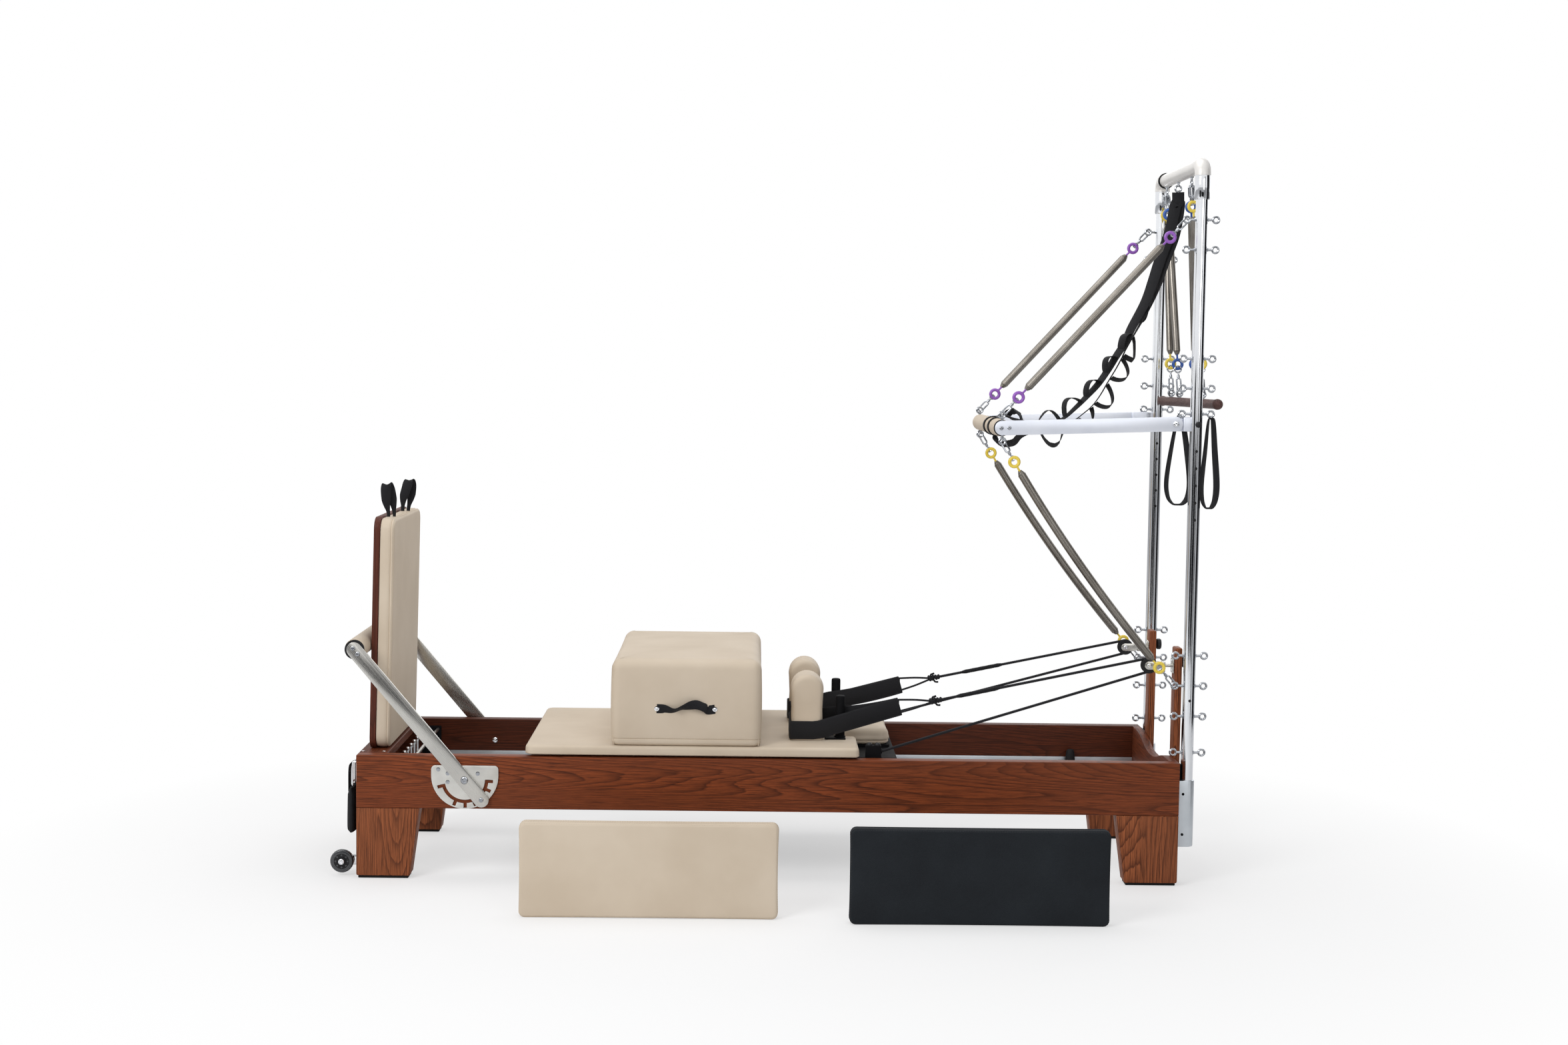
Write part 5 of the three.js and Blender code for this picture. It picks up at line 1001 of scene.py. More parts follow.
def on_line(line, distance):
    """The point and the direction at a distance along a line; a negative one counts from the end."""
    if distance < 0:
        point, direction = on_line(line[::-1], -distance)
        return point, -direction
    for a, b in zip(line, line[1:]):
        step = (b - a).length
        if distance <= step:
            return a + (b - a) * (distance / step), (b - a).normalized()
        distance -= step
    return line[-1], (line[-1] - line[-2]).normalized()


def coil(part, line, start, end, radius, wire, pitch, steps=12, sides=6, neck=0.014):
    """A close-wound coil along a line, drawn in to a cone at both ends."""
    lengths = lengths_along(line)
    end = lengths[-1] - end
    count = max(8, round((end - start) / pitch)) * steps
    frames = carried_frames(line)
    path, spot = [], 0
    for i in range(count + 1):
        distance = start + (end - start) * i / count
        while spot < len(line) - 2 and lengths[spot + 1] < distance:
            spot += 1
        share = (distance - lengths[spot]) / (lengths[spot + 1] - lengths[spot])
        wide, thin = frames[spot]
        grown = radius * (0.36 + 0.64 * min(1.0, min(distance - start, end - distance) / neck) ** 0.7)
        angle = 2 * pi * i / steps
        path.append(line[spot].lerp(line[spot + 1], share) + grown * (cos(angle) * wide + sin(angle) * thin))
    part.tube(path, wire, sides)


def snap_hook(part, eye, target):
    """A snap hook from an eye ring to a vinyl ring: a long loop, a swivel and a small eye."""
    along = (target - eye).normalized()
    beside = along.cross(AXES["y"]).normalized()
    start, end, half = -0.002, (target - eye).length * 0.52, 0.0062
    loop = arc(half, 90, 270, 8, start + half) + arc(half, -90, 90, 8, end - half)
    part.tube([eye + along * a + beside * b for a, b in loop], 0.0027, 8, True)
    swivel = ((0.0015, -0.001), (0.0042, 0.0), (0.0046, 0.004), (0.0042, 0.0095), (0.0015, 0.0105))
    part.lathe(swivel, eye + along * end, along, 16)
    tip = target - along * 0.0125
    stem = eye + along * (end + 0.010)
    small = stem.lerp(tip, 0.4)
    part.tube([stem, small], 0.0026, 8)
    reach = max(0.004, (tip - small).length / 2 + 0.0035)
    ring(part, small + along * reach, reach, 0.0025, AXES["y"], 8, 20)


def spring_unit(name, node, start, end, bow, color, hook=0.070, far_hook=0.070, radius=0.0108):
    """A coil with a vinyl ring and a snap hook at both ends, following what it hangs between."""
    line = spring_line(start, end, bow)
    wound = Part()
    coil(wound, line, hook + COIL_CLEAR, far_hook + COIL_CLEAR, radius, SPRING_WIRE, SPRING_WIRE * 2.06)
    near, far = hook + KEEP_CLEAR, far_hook + KEEP_CLEAR
    inside = [p for p in line if (p - start).length > near and (p - end).length > far]
    core = [on_line(line, hook + CORE_CLEAR)[0], *inside, on_line(line, -far_hook - CORE_CLEAR)[0]]
    wound.tube(core, radius + 0.82 * SPRING_WIRE, 20)
    pieces = [made(wound, name + "_coil", WIRE, None, node, 60, False)]
    first, first_way = on_line(line, hook)
    second, second_way = on_line(line, -far_hook)
    hooks = Part()
    snap_hook(hooks, start, first)
    snap_hook(hooks, end, second)
    pieces.append(made(hooks, name + "_hooks", FITTING, None))
    for index, (centre, way) in enumerate(((first, first_way), (second, -second_way))):
        loop = Part()
        ring(loop, centre, 0.0135, 0.0050, AXES["y" if abs(way.y) < 0.9 else "x"], 12, 36)
        loop.tube([centre + way * 0.016, centre + way * 0.024, centre + way * 0.034], [0.0034, 0.003, 0.0036], 14)
        pieces.append(made(loop, name + "_ring_" + str(index), color, None))
    for piece in pieces:
        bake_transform(piece)


def build_springs():
    for side, y in SIDES:
        for level, rise, eye, bow, color in (
            ("_upper", 0.038, HIGH_EYES[-1], 0.0, PURPLE), ("_lower", -0.038, LOW_EYES[2], -0.022, YELLOW),
        ):
            start, end = on_push(GRIP, y * UPRIGHT_Y, rise), at(1.185, y * UPRIGHT_Y, eye)
            spring_unit(side + level, side + level + "_push_spring", start, end, bow, color)
    for name, place, hang, color in ROLL_SPRINGS:
        top = at(UPRIGHT_X, hang, CROSSBAR_Z - CROSSBAR_EYE_DROP)
        name += "_roll"
        spring_unit(name, name + "_spring", on_roll(place, 0.026), top, 0.0, color, 0.092, 0.060, 0.0098)


def build_roll_bar():
    way = on_roll(1, 0) - on_roll(0, 0)
    end = (
        (0.0004, -0.2785), (0.006, -0.277), (0.012, -0.273), (0.0155, -0.266), (0.016, -0.259), (0.0148, -0.250),
        (0.014, -0.242),
    )
    bar = Part().lathe(mirrored(end), on_roll(0, 0), way, 40)
    made(bar, "roll_bar_dowel", DARK_WOOD, "roll_bar", "roll_down_bar")
    eyes = Part()
    for _, place, _, _ in ROLL_SPRINGS:
        eyebolt(eyes, on_roll(place, 0.012), AXES["z"], 0.014, way)
        nut(eyes, on_roll(place, 0.0135), "z", 0.003, 0.0055, 0.003)
    made(eyes, "roll_bar_eyes", FITTING, "roll_bar")


# Straps of the tower
def build_hand_loops():
    eye, drop = HIGH_EYES[0], 0.262
    for name, x, y, half, top in (("outer", 1.269, -0.314, 0.022, -0.0115), ("inner", 1.185, -0.2815, 0.035, -0.004)):
        bulge = ((0.62, 0.35), (0.98, 0.72), (0.86, 0.90), (0.45, 0.985))
        side = [(0.007, -0.010), *((half * a, -drop * b) for a, b in bulge)]
        outline = [(0.0, 0.0), *((-a, b) for a, b in side), (0.0, -drop), *side[::-1], (0.0, 0.0)]
        path = curve([at(x + a, y, eye + top + b) for a, b in outline], 8)[:-1]
        twists = [0.75 * sin(2 * pi * i / len(path)) for i in range(len(path))]
        across = [Vector((sin(twist), cos(twist), 0)) for twist in twists]
        band = Part().strap(path, across, 0.022, 0.0042, True)
        made(band, name + "_loop_strap", WEBBING, node=name + "_hand_loop", angle=50)
        metal = Part()
        if name == "inner":
            hook = ((-0.3195, -0.0045), (-0.311, -0.0052), (-0.300, -0.0052), (-0.276, -0.0052))
            metal.tube(curve([at(x, a, eye + b) for a, b in hook], 5), 0.0022, 10)
        else:
            ring(metal, at(x, y, eye - 0.0105), 0.0048, 0.0016, AXES["x"], 8, 20)
        made(metal, name + "_loop_hook", FITTING)


LOOP_WIDTH = 0.026
# The route of each long strap below its eye, and its turn about its length at shares of that route
FIRST_STRAP = (
    (1.220, 0.052, 2.009), (1.199, 0.030, 1.922), (1.165, 0.000, 1.835), (1.143, -0.030, 1.778),
    (1.115, -0.060, 1.711), (1.070, -0.085, 1.631), (1.051, -0.105, 1.591), (1.021, -0.130, 1.550),
    (0.992, -0.155, 1.507), (0.959, -0.180, 1.464), (0.923, -0.205, 1.428), (0.888, -0.225, 1.395),
    (0.850, -0.245, 1.364), (0.812, -0.258, 1.352), (0.765, -0.262, 1.350), (0.710, -0.240, 1.360),
    (0.690, -0.170, 1.366), (0.672, -0.080, 1.3635),
)
SECOND_STRAP = (
    (1.232, 0.056, 2.009), (1.216, 0.034, 1.922), (1.180, 0.004, 1.826), (1.157, -0.026, 1.759),
    (1.121, -0.056, 1.683), (1.055, -0.105, 1.574), (1.040, -0.120, 1.547), (1.019, -0.140, 1.512),
    (0.991, -0.165, 1.471), (0.965, -0.190, 1.432), (0.939, -0.210, 1.401), (0.910, -0.230, 1.378),
    (0.879, -0.250, 1.358), (0.825, -0.265, 1.339), (0.758, -0.274, 1.327), (0.7225, -0.281, 1.3134),
    (0.703, -0.250, 1.292), (0.679, -0.210, 1.287), (0.662, -0.180, 1.2985), (0.6595, -0.170, 1.3085),
)
FIRST_TURNS = (
    (0.0, 0.3), (0.25, 0.5), (0.42, 1.0), (0.58, 1.1), (0.66, 1.25), (0.74, 1.45), (0.80, 1.6), (0.86, 1.66),
    (1.0, 1.6),
)
SECOND_TURNS = ((0.0, 0.3), (0.15, 0.5), (0.25, 1.3), (0.32, 1.68), (0.72, 1.7), (0.79, 1.15), (1.0, 1.1))
# Each loop: where it starts and ends beside its strap, how far it stands out, to which side, and its twist
FIRST_LOOPS = (
    ((1.165, 1.835), (1.122, 1.735), 0.020, -1, 0.0), ((1.115, 1.711), (1.085, 1.655), 0.016, -1, 0.0),
    ((1.051, 1.6205), (1.0321, 1.5772), 0.016, 1, 0.0), ((1.0063, 1.547), (0.9843, 1.497), 0.026, 1, 0.15),
    ((0.957, 1.476), (0.925, 1.428), 0.028, 1, 0.2), ((0.908, 1.412), (0.855, 1.364), 0.036, 1, 0.0),
    ((0.835, 1.361), (0.770, 1.350), 0.034, 1, 0.0), ((0.722, 1.357), (0.690, 1.366), 0.024, 1, 0.0),
)
SECOND_LOOPS = (
    ((1.080, 1.615), (1.041, 1.550), 0.028, -1, 0.0), ((1.037, 1.545), (1.003, 1.480), 0.034, -1, 0.0),
    ((0.9886, 1.467), (0.9472, 1.411), 0.036, -1, 0.0), ((0.936, 1.398), (0.8927, 1.366), 0.030, -1, 0.5),
    ((0.845, 1.344), (0.780, 1.331), 0.040, -1, 0.42),
)


def between(table, share):
    """The value at a share, read along a table of (share, value)."""
    (start, low), (end, high) = next(pair for pair in zip(table, table[1:]) if share <= pair[1][0])
    return low + (high - low) * (share - start) / (end - start)


def build_daisy_straps():
    """Two long straps with sewn loops, from the crossbar's middle eye to the push-through bar's grip."""
    top, foot = at(UPRIGHT_X, STRAP_HANG, 2.060), at(0.663, -0.284, 1.353)
    grip, wrap = at(0.6633, 0, 1.335), 0.0269
    straps = Part()
    for route, loops, turns, lean, ring_y in (
        (FIRST_STRAP, FIRST_LOOPS, FIRST_TURNS, 0.0, -0.055),
        (SECOND_STRAP, SECOND_LOOPS, SECOND_TURNS, 0.0015, -0.170),
    ):
        start = moved(top, 0, 0, -0.0108)
        path = curve([start, moved(start, lean, 0, -0.030), *[at(*point) for point in route]], 6)
        last = len(path) - 1
        across = []
        for i in range(last + 1):
            turn = between(turns, i / last)
            beside = (path[min(i + 1, last)] - path[max(i - 1, 0)]).cross(AXES["y"]).normalized()
            across.append(beside * cos(turn) - AXES["y"] * sin(turn))
        widths = [0.037 - 0.010 * min(1.0, i / len(path) * 1.3) for i in range(last + 1)]
        straps.strap(path, across, widths, STRAP_THICK)
        for loop in loops:
            sewn_loop(straps, path, across, *loop)
        wrapped = [moved(grip, x, ring_y, z) for x, z in arc(wrap, 0, 360, 40)[:-1]]
        straps.strap(wrapped, AXES["y"], LOOP_WIDTH, STRAP_THICK, True)
    piece = made(straps, "looped_straps", WEBBING, None, "daisy_straps", 50)
    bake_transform(piece)


def sewn_loop(part, path, across, begin, end, rise, face, twist):
    """One loop sewn along a strap's face, an arch between two seams."""

    def nearest(place):
        spot = at(place[0], 0, place[1])
        return min(range(1, len(path) - 1), key=lambda i: (path[i].x - spot.x) ** 2 + (path[i].z - spot.z) ** 2)

    first, last = sorted((nearest(begin), nearest(end)))
    first = min(first, last - 2)
    arch, wides = [], []
    for step in range(17):
        share = step / 16
        spot = first + (last - first) * share
        i = min(int(spot), len(path) - 2)
        along = (path[i + 1] - path[i]).normalized()
        wide = square_to(along, across[i])
        bulge = sin(pi * share) ** 0.72
        out = along.cross(wide) * face * (0.0021 + rise * bulge)
        droop = Vector((0, 0, -0.010 if face < 0 else 0.0)) * bulge
        arch.append(path[i].lerp(path[i + 1], spot - i) + out + droop)
        wides.append(Matrix.Rotation(twist * sin(pi * share), 3, along) @ wide)
    part.strap(arch, wides, LOOP_WIDTH, SEW_THICK)


# Risers and pulleys
def build_risers():
    face = 1.2213
    for side, y in SIDES:
        own = y * PULLEY_Y
        post = Part().box(at(HEAD_FACE, own - 0.028, 0.214), at(face, own + 0.028, 0.688), 0.005, 3)
        made(post, side + "_riser_post", WOOD_Z, node=side + "_riser")
        profile = (
            (0.001, 0.0), (0.007, 0.0), (0.007, 0.004), (0.0155, 0.005), (0.0170, 0.008), (0.0170, 0.015),
            (0.0150, 0.0185), (0.001, 0.019),
        )
        knob = Part().lathe(profile, at(face, own, 0.6435), "x", 10)
        made(knob, side + "_riser_knob", BLACK, angle=20)
        bolts = Part()
        for z in (0.250, 0.330):
            bolt(bolts, at(face, own, z), "x", 0.008, 0.003)
        made(bolts, side + "_riser_bolts", CHROME)
        build_pulley(side, at(PULLEY_X, own, PULLEY_Z))


def build_pulley(side, hub):
    groove = ((0.0048, -0.0078), (0.0235, -0.0078), (0.024, -0.0072), (0.0238, -0.0056), (0.0175, -0.0035))
    sheave = Part().lathe(mirrored(groove, [(0.0164, 0.0)]), hub, "y", 56, True)
    made(sheave, side + "_sheave", BLACK, side + "_sheave", side + "_pulley_sheave")
    block, pins = Part(), Part()
    for way in (-1, 1):
        plane = upright_plane(moved(hub, 0, way * 0.0096))
        flat_plate(block, [stadium(-0.002, 0.026, 0.012, 12)], 0.002, 0.0005, plane)
        bolt(pins, moved(hub, 0, way * 0.0104), (0, way, 0), 0.0065, 0.0025)
        bolt(pins, moved(hub, 0.0685, 0, way * 0.015), (-1, 0, 0), 0.004, 0.002)
    block.box(moved(hub, 0.036, -0.0106, -0.012), moved(hub, 0.048, 0.0106, 0.012), 0.003, 3)
    block.tube([moved(hub, 0.047), moved(hub, 0.072)], 0.005, 20)
    block.box(moved(hub, 0.068, -0.018, -0.022), moved(hub, 0.073, 0.018, 0.022))
    made(block, side + "_block", STEEL, node=side + "_pulley_block", angle=35)
    pins.tube([moved(hub, 0, -0.010), moved(hub, 0, 0.010)], 0.004, 16)
    made(pins, side + "_block_pins", CHROME)


# Carriage
def build_carriage():
    base = made(Part().copy("carriage_frame"), "carriage_base", BLACK_METAL, "carriage", "carriage_frame", 30)
    edges = base.modifiers.new("edges", "BEVEL")
    edges.width, edges.segments = 0.0022, 2
    edges.limit_method, edges.angle_limit = "ANGLE", radians(35)
    guides = Part()
    cap = ((0.0090, 0.0), (0.0090, 0.003), (0.0072, 0.0062), (0.004, 0.0078), (0.0003, 0.0080))
    for _, y in SIDES:
        for x in (0.294, 0.318):
            guides.lathe(cap, at(x, y * CLEAT_Y, 0.3972), "z", 24)
        ring(guides, at(0.3300, y * CLEAT_Y, 0.3802), 0.0058, 0.0018, AXES["x"], 8, 20)
    made(guides, "rope_guides", BLACK, "carriage")
    tread = (
        (0.0062, -0.0092), (0.012, -0.0092), (0.0135, -0.0075), (0.018, -0.0075), (0.0205, -0.009), (0.022, -0.0075),
        (0.022, 0.0075), (0.0205, 0.009), (0.018, 0.0075), (0.0135, 0.0075), (0.012, 0.009), (0.0062, 0.009),
    )
    for end, x in (("foot", -0.620), ("head", 0.185)):
        body, centre = end + "_axle", at(x, 0, 0.2416)
        rod = Part().tube([moved(centre, 0, y * 0.3007) for _, y in SIDES], 0.006, 20)
        made(rod, body + "_rod", CHROME, body, end + "_wheel_axle")
        wheels = Part()
        for _, y in SIDES:
            wheels.lathe(tread, moved(centre, 0, y * 0.2917), "y", 44, True)
        made(wheels, body + "_wheels", BLACK, body)
    build_pad()
    shape = (0.034, 0.022, 0.006, (0.010,), 0.003, 0.0018, 0.012)
    place = Matrix.Translation(at(0.266, 0, PAD_FOOT + 0.002))
    upholstered("headrest_pad", "headrest_stitches", "headrest", "headrest", (0.192, 0.260, 0.054), place, shape)
    for side, y in SIDES:
        build_shoulder(side, y)
    build_carriage_springs()
    for side, y in SIDES:
        build_rope(side, y)


def build_pad():
    """The carriage's long pad, notched at its head end for the headrest."""
    foot, head, notch, half, gap = -0.711, 0.262, 0.168, 0.350, 0.132
    corner, small, edge = 0.026, 0.014, 0.0105
    outline = arc(small, -90, 0, 5, head - small, small - half) + arc(small, 0, 90, 5, head - small, -gap - small)
    outline += arc(small, 270, 180, 5, notch + small, small - gap)
    outline += [(x, -y) for x, y in reversed(outline)]
    outline += arc(corner, 90, 180, 7, foot + corner, half - corner)
    outline += arc(corner, 180, 270, 7, foot + corner, corner - half)
    outline = denser(outline, 0.025)
    normals = normals_of(outline)

    def inset_ring(inset, z):
        return [at(x - nx * inset, y - ny * inset, z) for (x, y), (nx, ny) in zip(outline, normals)]

    levels = [(0.004, PAD_FOOT), (0.0012, PAD_FOOT + 0.0015), (0.0, PAD_FOOT + 0.004), (-0.0006, PAD_FOOT + 0.0095)]
    levels += [(edge * (1 - cos(a)), PAD_TOP - edge - 0.0005 + edge * sin(a)) for a in spread(0, 90, 7)]
    pad = Part().rings([inset_ring(*level) for level in levels])
    made(pad, "carriage_cushion", CREAM, "carriage", "carriage_pad", 60)
    welt = Part().tube(inset_ring(0.0002, PAD_FOOT + 0.0042), SEAM_CORD, 8, True)
    made(welt, "carriage_cushion_welt", CREAM, "carriage")


SHOULDER_X, SHOULDER_Y, SHOULDER_WIDTH, SHOULDER_DEPTH = 0.064, 0.100, 0.096, 0.120


def build_shoulder(side, y):
    """A shoulder rest: arched side faces, a band round the edge between two seams, and a crown."""
    half, edge = SHOULDER_WIDTH / 2, 0.016
    spring = 0.195 - half
    flank = [(half, 0.0), (half - 0.0015, spring * 0.3), (half - 0.003, spring * 0.6), (half - 0.001, spring * 0.9)]
    outline = flank + arc(half, 0, 180, 22, 0, spring) + [(-x, z) for x, z in reversed(flank)]
    outline = denser(outline, 0.012)
    levels = [(edge * (1 - cos(a)), edge * (1 - sin(a))) for a in spread(0, 90, 6)]
    levels += [(edge + 0.004, 0.0), (edge + 0.0055, 0.0012), (edge + 0.007, 0.0)]
    for i in range(1, 5):
        levels.append((edge + 0.007 + (SHOULDER_DEPTH - 2 * edge - 0.014) * i / 5, -0.0016 * sin(pi * i / 5)))
    levels += [(SHOULDER_DEPTH - t, inset) for t, inset in reversed(levels[:9])]
    rings = []
    for t, inset in levels:
        shrink = (half - inset) / half
        row = []
        for x, z in outline:
            height = spring + (z - spring) * shrink if z > spring else z
            row.append(at(SHOULDER_X + half + x * shrink, y * (SHOULDER_Y + t), DECK + height))
        rings.append(row)

    def crown(row, way):
        middle = sum(row, Vector()) / len(row)
        shares = (0.92, 0.75, 0.5, 0.25, 0.02)
        return [[middle + (p - middle) * s + Vector((0, way * 0.0025 * (1 - s**2), 0)) for p in row] for s in shares]

    rest = Part().rings(crown(rings[0], -y)[::-1] + rings + crown(rings[-1], y))
    body = side + "_shoulder"
    made(rest, body + "_pad", CREAM, body, body + "_rest", 60)
    own = y * 0.175
    profile = (
        (0.0005, 0.0), (0.0165, 0.0), (0.0165, 0.006), (0.0142, 0.0075), (0.0142, 0.122), (0.0132, 0.1268),
        (0.0100, 0.1285), (0.0005, 0.1285),
    )
    post = Part().lathe(profile, at(0.212, own, DECK), "z", 36)
    post.box(at(0.166, own - 0.030, DECK), at(0.228, own + 0.030, DECK + 0.003), 0.001)
    made(post, side + "_post", BLACK_METAL, body, side + "_strap_post")


def build_carriage_springs():
    coils, wires = Part(), Part()
    z = 0.263
    for y in SPRING_ROWS:
        line = [at(-1.0515 + 0.34 * i / 40, y, z) for i in range(41)]
        coil(coils, line, 0.0, 0.0, 0.0078, 0.00115, 0.0026, 10, 5, 0.012)
        wires.tube([at(x, y, z) for x in (-1.0905, -1.0845, -1.055, -1.046)], 0.0022, 10)
        ring(wires, at(-1.083, y, z), 0.0062, 0.0016, AXES["z"], 8, 20)
        wires.tube([at(-0.714, y, z), at(-0.7005, y, z)], 0.003, 10)
    coil_piece = made(coils, "carriage_coils", WIRE, None, "carriage_springs", 60, False)
    wire_piece = made(wires, "carriage_spring_hooks", FITTING, None)
    for piece in (coil_piece, wire_piece):
        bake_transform(piece)
    bar = Part().box(at(-0.7113, -0.136, 0.252), at(-0.7003, 0.136, 0.274))
    made(bar, "spring_carrier", BLACK_METAL, "carriage")


ROPE_RADIUS, TIE_RADIUS = 0.004, 0.0030
UP_ROUTE = 14


def reach_of(y):
    """How much further the far strap is drawn out than the near one."""
    return 0.030 if y > 0 else 0.0


def knot_of(y):
    return at(0.484 + reach_of(y), y * 0.215, 0.518 + 0.21 * reach_of(y))


def rope_route(y):
    """A rope's line from its cleat up to the pulley, round it and back to the knot of its strap."""
    hub, cleat = at(PULLEY_X, y * PULLEY_Y, PULLEY_Z), at(0.3295, y * CLEAT_Y, 0.3800)
    wrapped = [moved(hub, x, 0, z) for x, z in arc(0.0209, -103, 97, 34)]
    lower = [cleat.lerp(wrapped[0], i / 16) for i in range(16)]
    upper = [wrapped[-1].lerp(knot_of(y), i / UP_ROUTE) for i in range(1, UP_ROUTE + 1)]
    return lower + wrapped + upper


def build_rope(side, y):
    path = rope_route(y)
    piece = made(Part().tube(path, ROPE_RADIUS, 12), side + "_cord", ROPE, None, side + "_rope", 60)
    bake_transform(piece)
    knot = knot_of(y)
    tie, corner = moved(knot, 0.004), moved(shoulder_strap(side, y), -0.004)
    bits = Part()
    for way in (-1, 1):
        end = moved(corner, 0, 0, way * 0.020)
        bits.tube(curve([end, moved(end.lerp(tie, 0.5), 0, 0, way * 0.002), tie], 8), TIE_RADIUS, 10)
    bits.tube([moved(corner, 0, 0, -0.022), moved(corner, 0, 0, 0.022)], TIE_RADIUS, 10)
    for index, (x, turn) in enumerate(((-0.004, 0.5), (0.006, -0.6), (0.016, 0.3), (0.024, -0.2))):
        across = (1, 0.35 * sin(turn * 3), 0.45 * turn + 0.22)
        ring(bits, moved(knot, x, 0, 0.0018 * index), 0.0064 - 0.0007 * index, ROPE_RADIUS, across, 10, 22)
    for loose in (
        ((0.002, 0, 0.002), (-0.001, -0.005, 0.012), (0.010, -0.007, 0.017)),
        ((0.008, 0, -0.002), (0.014, 0.004, -0.011), (0.024, 0.005, -0.012)),
    ):
        bits.tube(curve([moved(knot, *point) for point in loose], 5), TIE_RADIUS, 8)
    knot_piece = made(bits, side + "_knot", ROPE, "carriage", None, 60)
    begin, length, count = 0.556 if y < 0 else 0.612, 0.125, 10
    start, end = path[-UP_ROUTE - 1], path[-1]
    line = []
    for i in range(count + 1):
        x = begin + length * i / count
        line.append(start.lerp(end, (start.x - MIDDLE.x - x) / (start.x - end.x)))
    radii = [0.0044, *(0.0064 - 0.0004 * (i % 2) for i in range(count - 1)), 0.0044]
    cover = made(Part().tube(line, radii, 14), side + "_sleeve", WEBBING, None, None, 60)
    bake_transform(cover)


def rounded_corners(corners, most, steps=4):
    """A closed outline of points with each corner cut to a curve that starts at most so far from it."""
    found = []
    for index, corner in enumerate(corners):
        to_before, to_after = corners[index - 1] - corner, corners[(index + 1) % len(corners)] - corner
        reach = min(most, to_before.length / 2, to_after.length / 2)
        a = corner + to_before.normalized() * reach
        b = corner + to_after.normalized() * reach
        for t in (i / steps for i in range(steps + 1)):
            found.append(a * (1 - t) ** 2 + corner * 2 * t * (1 - t) + b * t * t)
    return found


def shoulder_strap(side, y):
    """The wide webbing loop round a shoulder rest and its post, rising towards the pulley.
    Gives the place where the rope ties to it."""
    slope, slack = radians(11), 0.0035
    start, back = SHOULDER_X - slack, SHOULDER_X + SHOULDER_WIDTH + slack
    inner, outer = SHOULDER_Y - slack, SHOULDER_Y + SHOULDER_DEPTH + slack
    end, side_end = 0.393 + reach_of(y), 0.202
    corners = (
        (start, inner), (start, outer), (back, outer), (end, side_end + 0.003), (end, side_end - 0.003),
        (0.196, 0.152), (back, 0.1345), (back, inner),
    )
    rounded = rounded_corners([Vector(corner) for corner in corners], 0.014)
    low, middle, level = PAD_TOP + 0.0305, PAD_TOP + 0.038, 0.080
    top = middle + (end - start) * sin(slope)
    span = (end - start) * cos(slope) - level
    path, across = [], []
    for px, py in denser([tuple(p) for p in rounded], 0.02):
        distance = px - start
        along = distance * cos(slope)
        ease = max(0.0, along - level)
        outer_share = min(1.0, max(0.0, (py - 0.150) / 0.045))
        inside, outside = middle + distance * sin(slope), low + (top - low) * ease / span
        path.append(at(start + along, y * py, inside * (1 - outer_share) + outside * outer_share))
        steep = atan2(top - low, span) * min(1.0, ease / 0.05)
        tilt = slope * min(1.0, distance / 0.12) * (1 - outer_share) + steep * outer_share
        across.append(Vector((-sin(tilt), 0, cos(tilt))))
    band = Part().strap(path, across, 0.054, STRAP_THICK, True)
    made(band, side + "_strap_band", WEBBING, "carriage", None, 50)
    seams = Part()
    centre = sum(path, Vector()) / len(path)
    for offset in (-0.0235, 0.0235):
        for layer in (-1, 1):
            row = []
            for i, point in enumerate(path):
                along = (path[(i + 1) % len(path)] - path[i - 1]).normalized()
                wide = square_to(along, across[i])
                thin = along.cross(wide)
                outward = 1 if thin.dot(point - centre) > 0 else -1
                row.append(point + wide * offset + thin * (outward * layer * 0.00145))
            stitches(seams, row)
    made(seams, side + "_strap_seams", DARK_THREAD, "carriage", None, 60, False)
    return at(start + (end - start) * cos(slope), y * side_end, top)


# Sitting box, jump board and mats
BOX_X, BOX_WIDTH, BOX_LENGTH, BOX_HEIGHT, BOX_CORNER = -0.2435, 0.437, 0.694, 0.260, 0.026


def build_sitting_box():
    size, place = (BOX_WIDTH, BOX_LENGTH, BOX_HEIGHT), Matrix.Translation(at(BOX_X, 0, DECK))
    shape = (BOX_CORNER, 0.032, 0.006, (0.020,), 0.003, 0.002)
    upholstered("sitting_box_cover", "sitting_box_stitches", "sitting_box", "sitting_box", size, place, shape)
    seams = Part()
    inset = BOX_CORNER - 0.0258 * 0.7071
    for _, y in SIDES:
        for way in (-1, 1):
            x, out = BOX_X + way * (BOX_WIDTH / 2 - inset), y * (BOX_LENGTH / 2 - inset)
            seams.tube([at(x, out, DECK + 0.002 + 0.22 * i / 12) for i in range(13)], SEAM_CORD, 8)
    made(seams, "sitting_box_seams", CREAM, "sitting_box")
    for side, y in SIDES:
        build_handle(side, y)


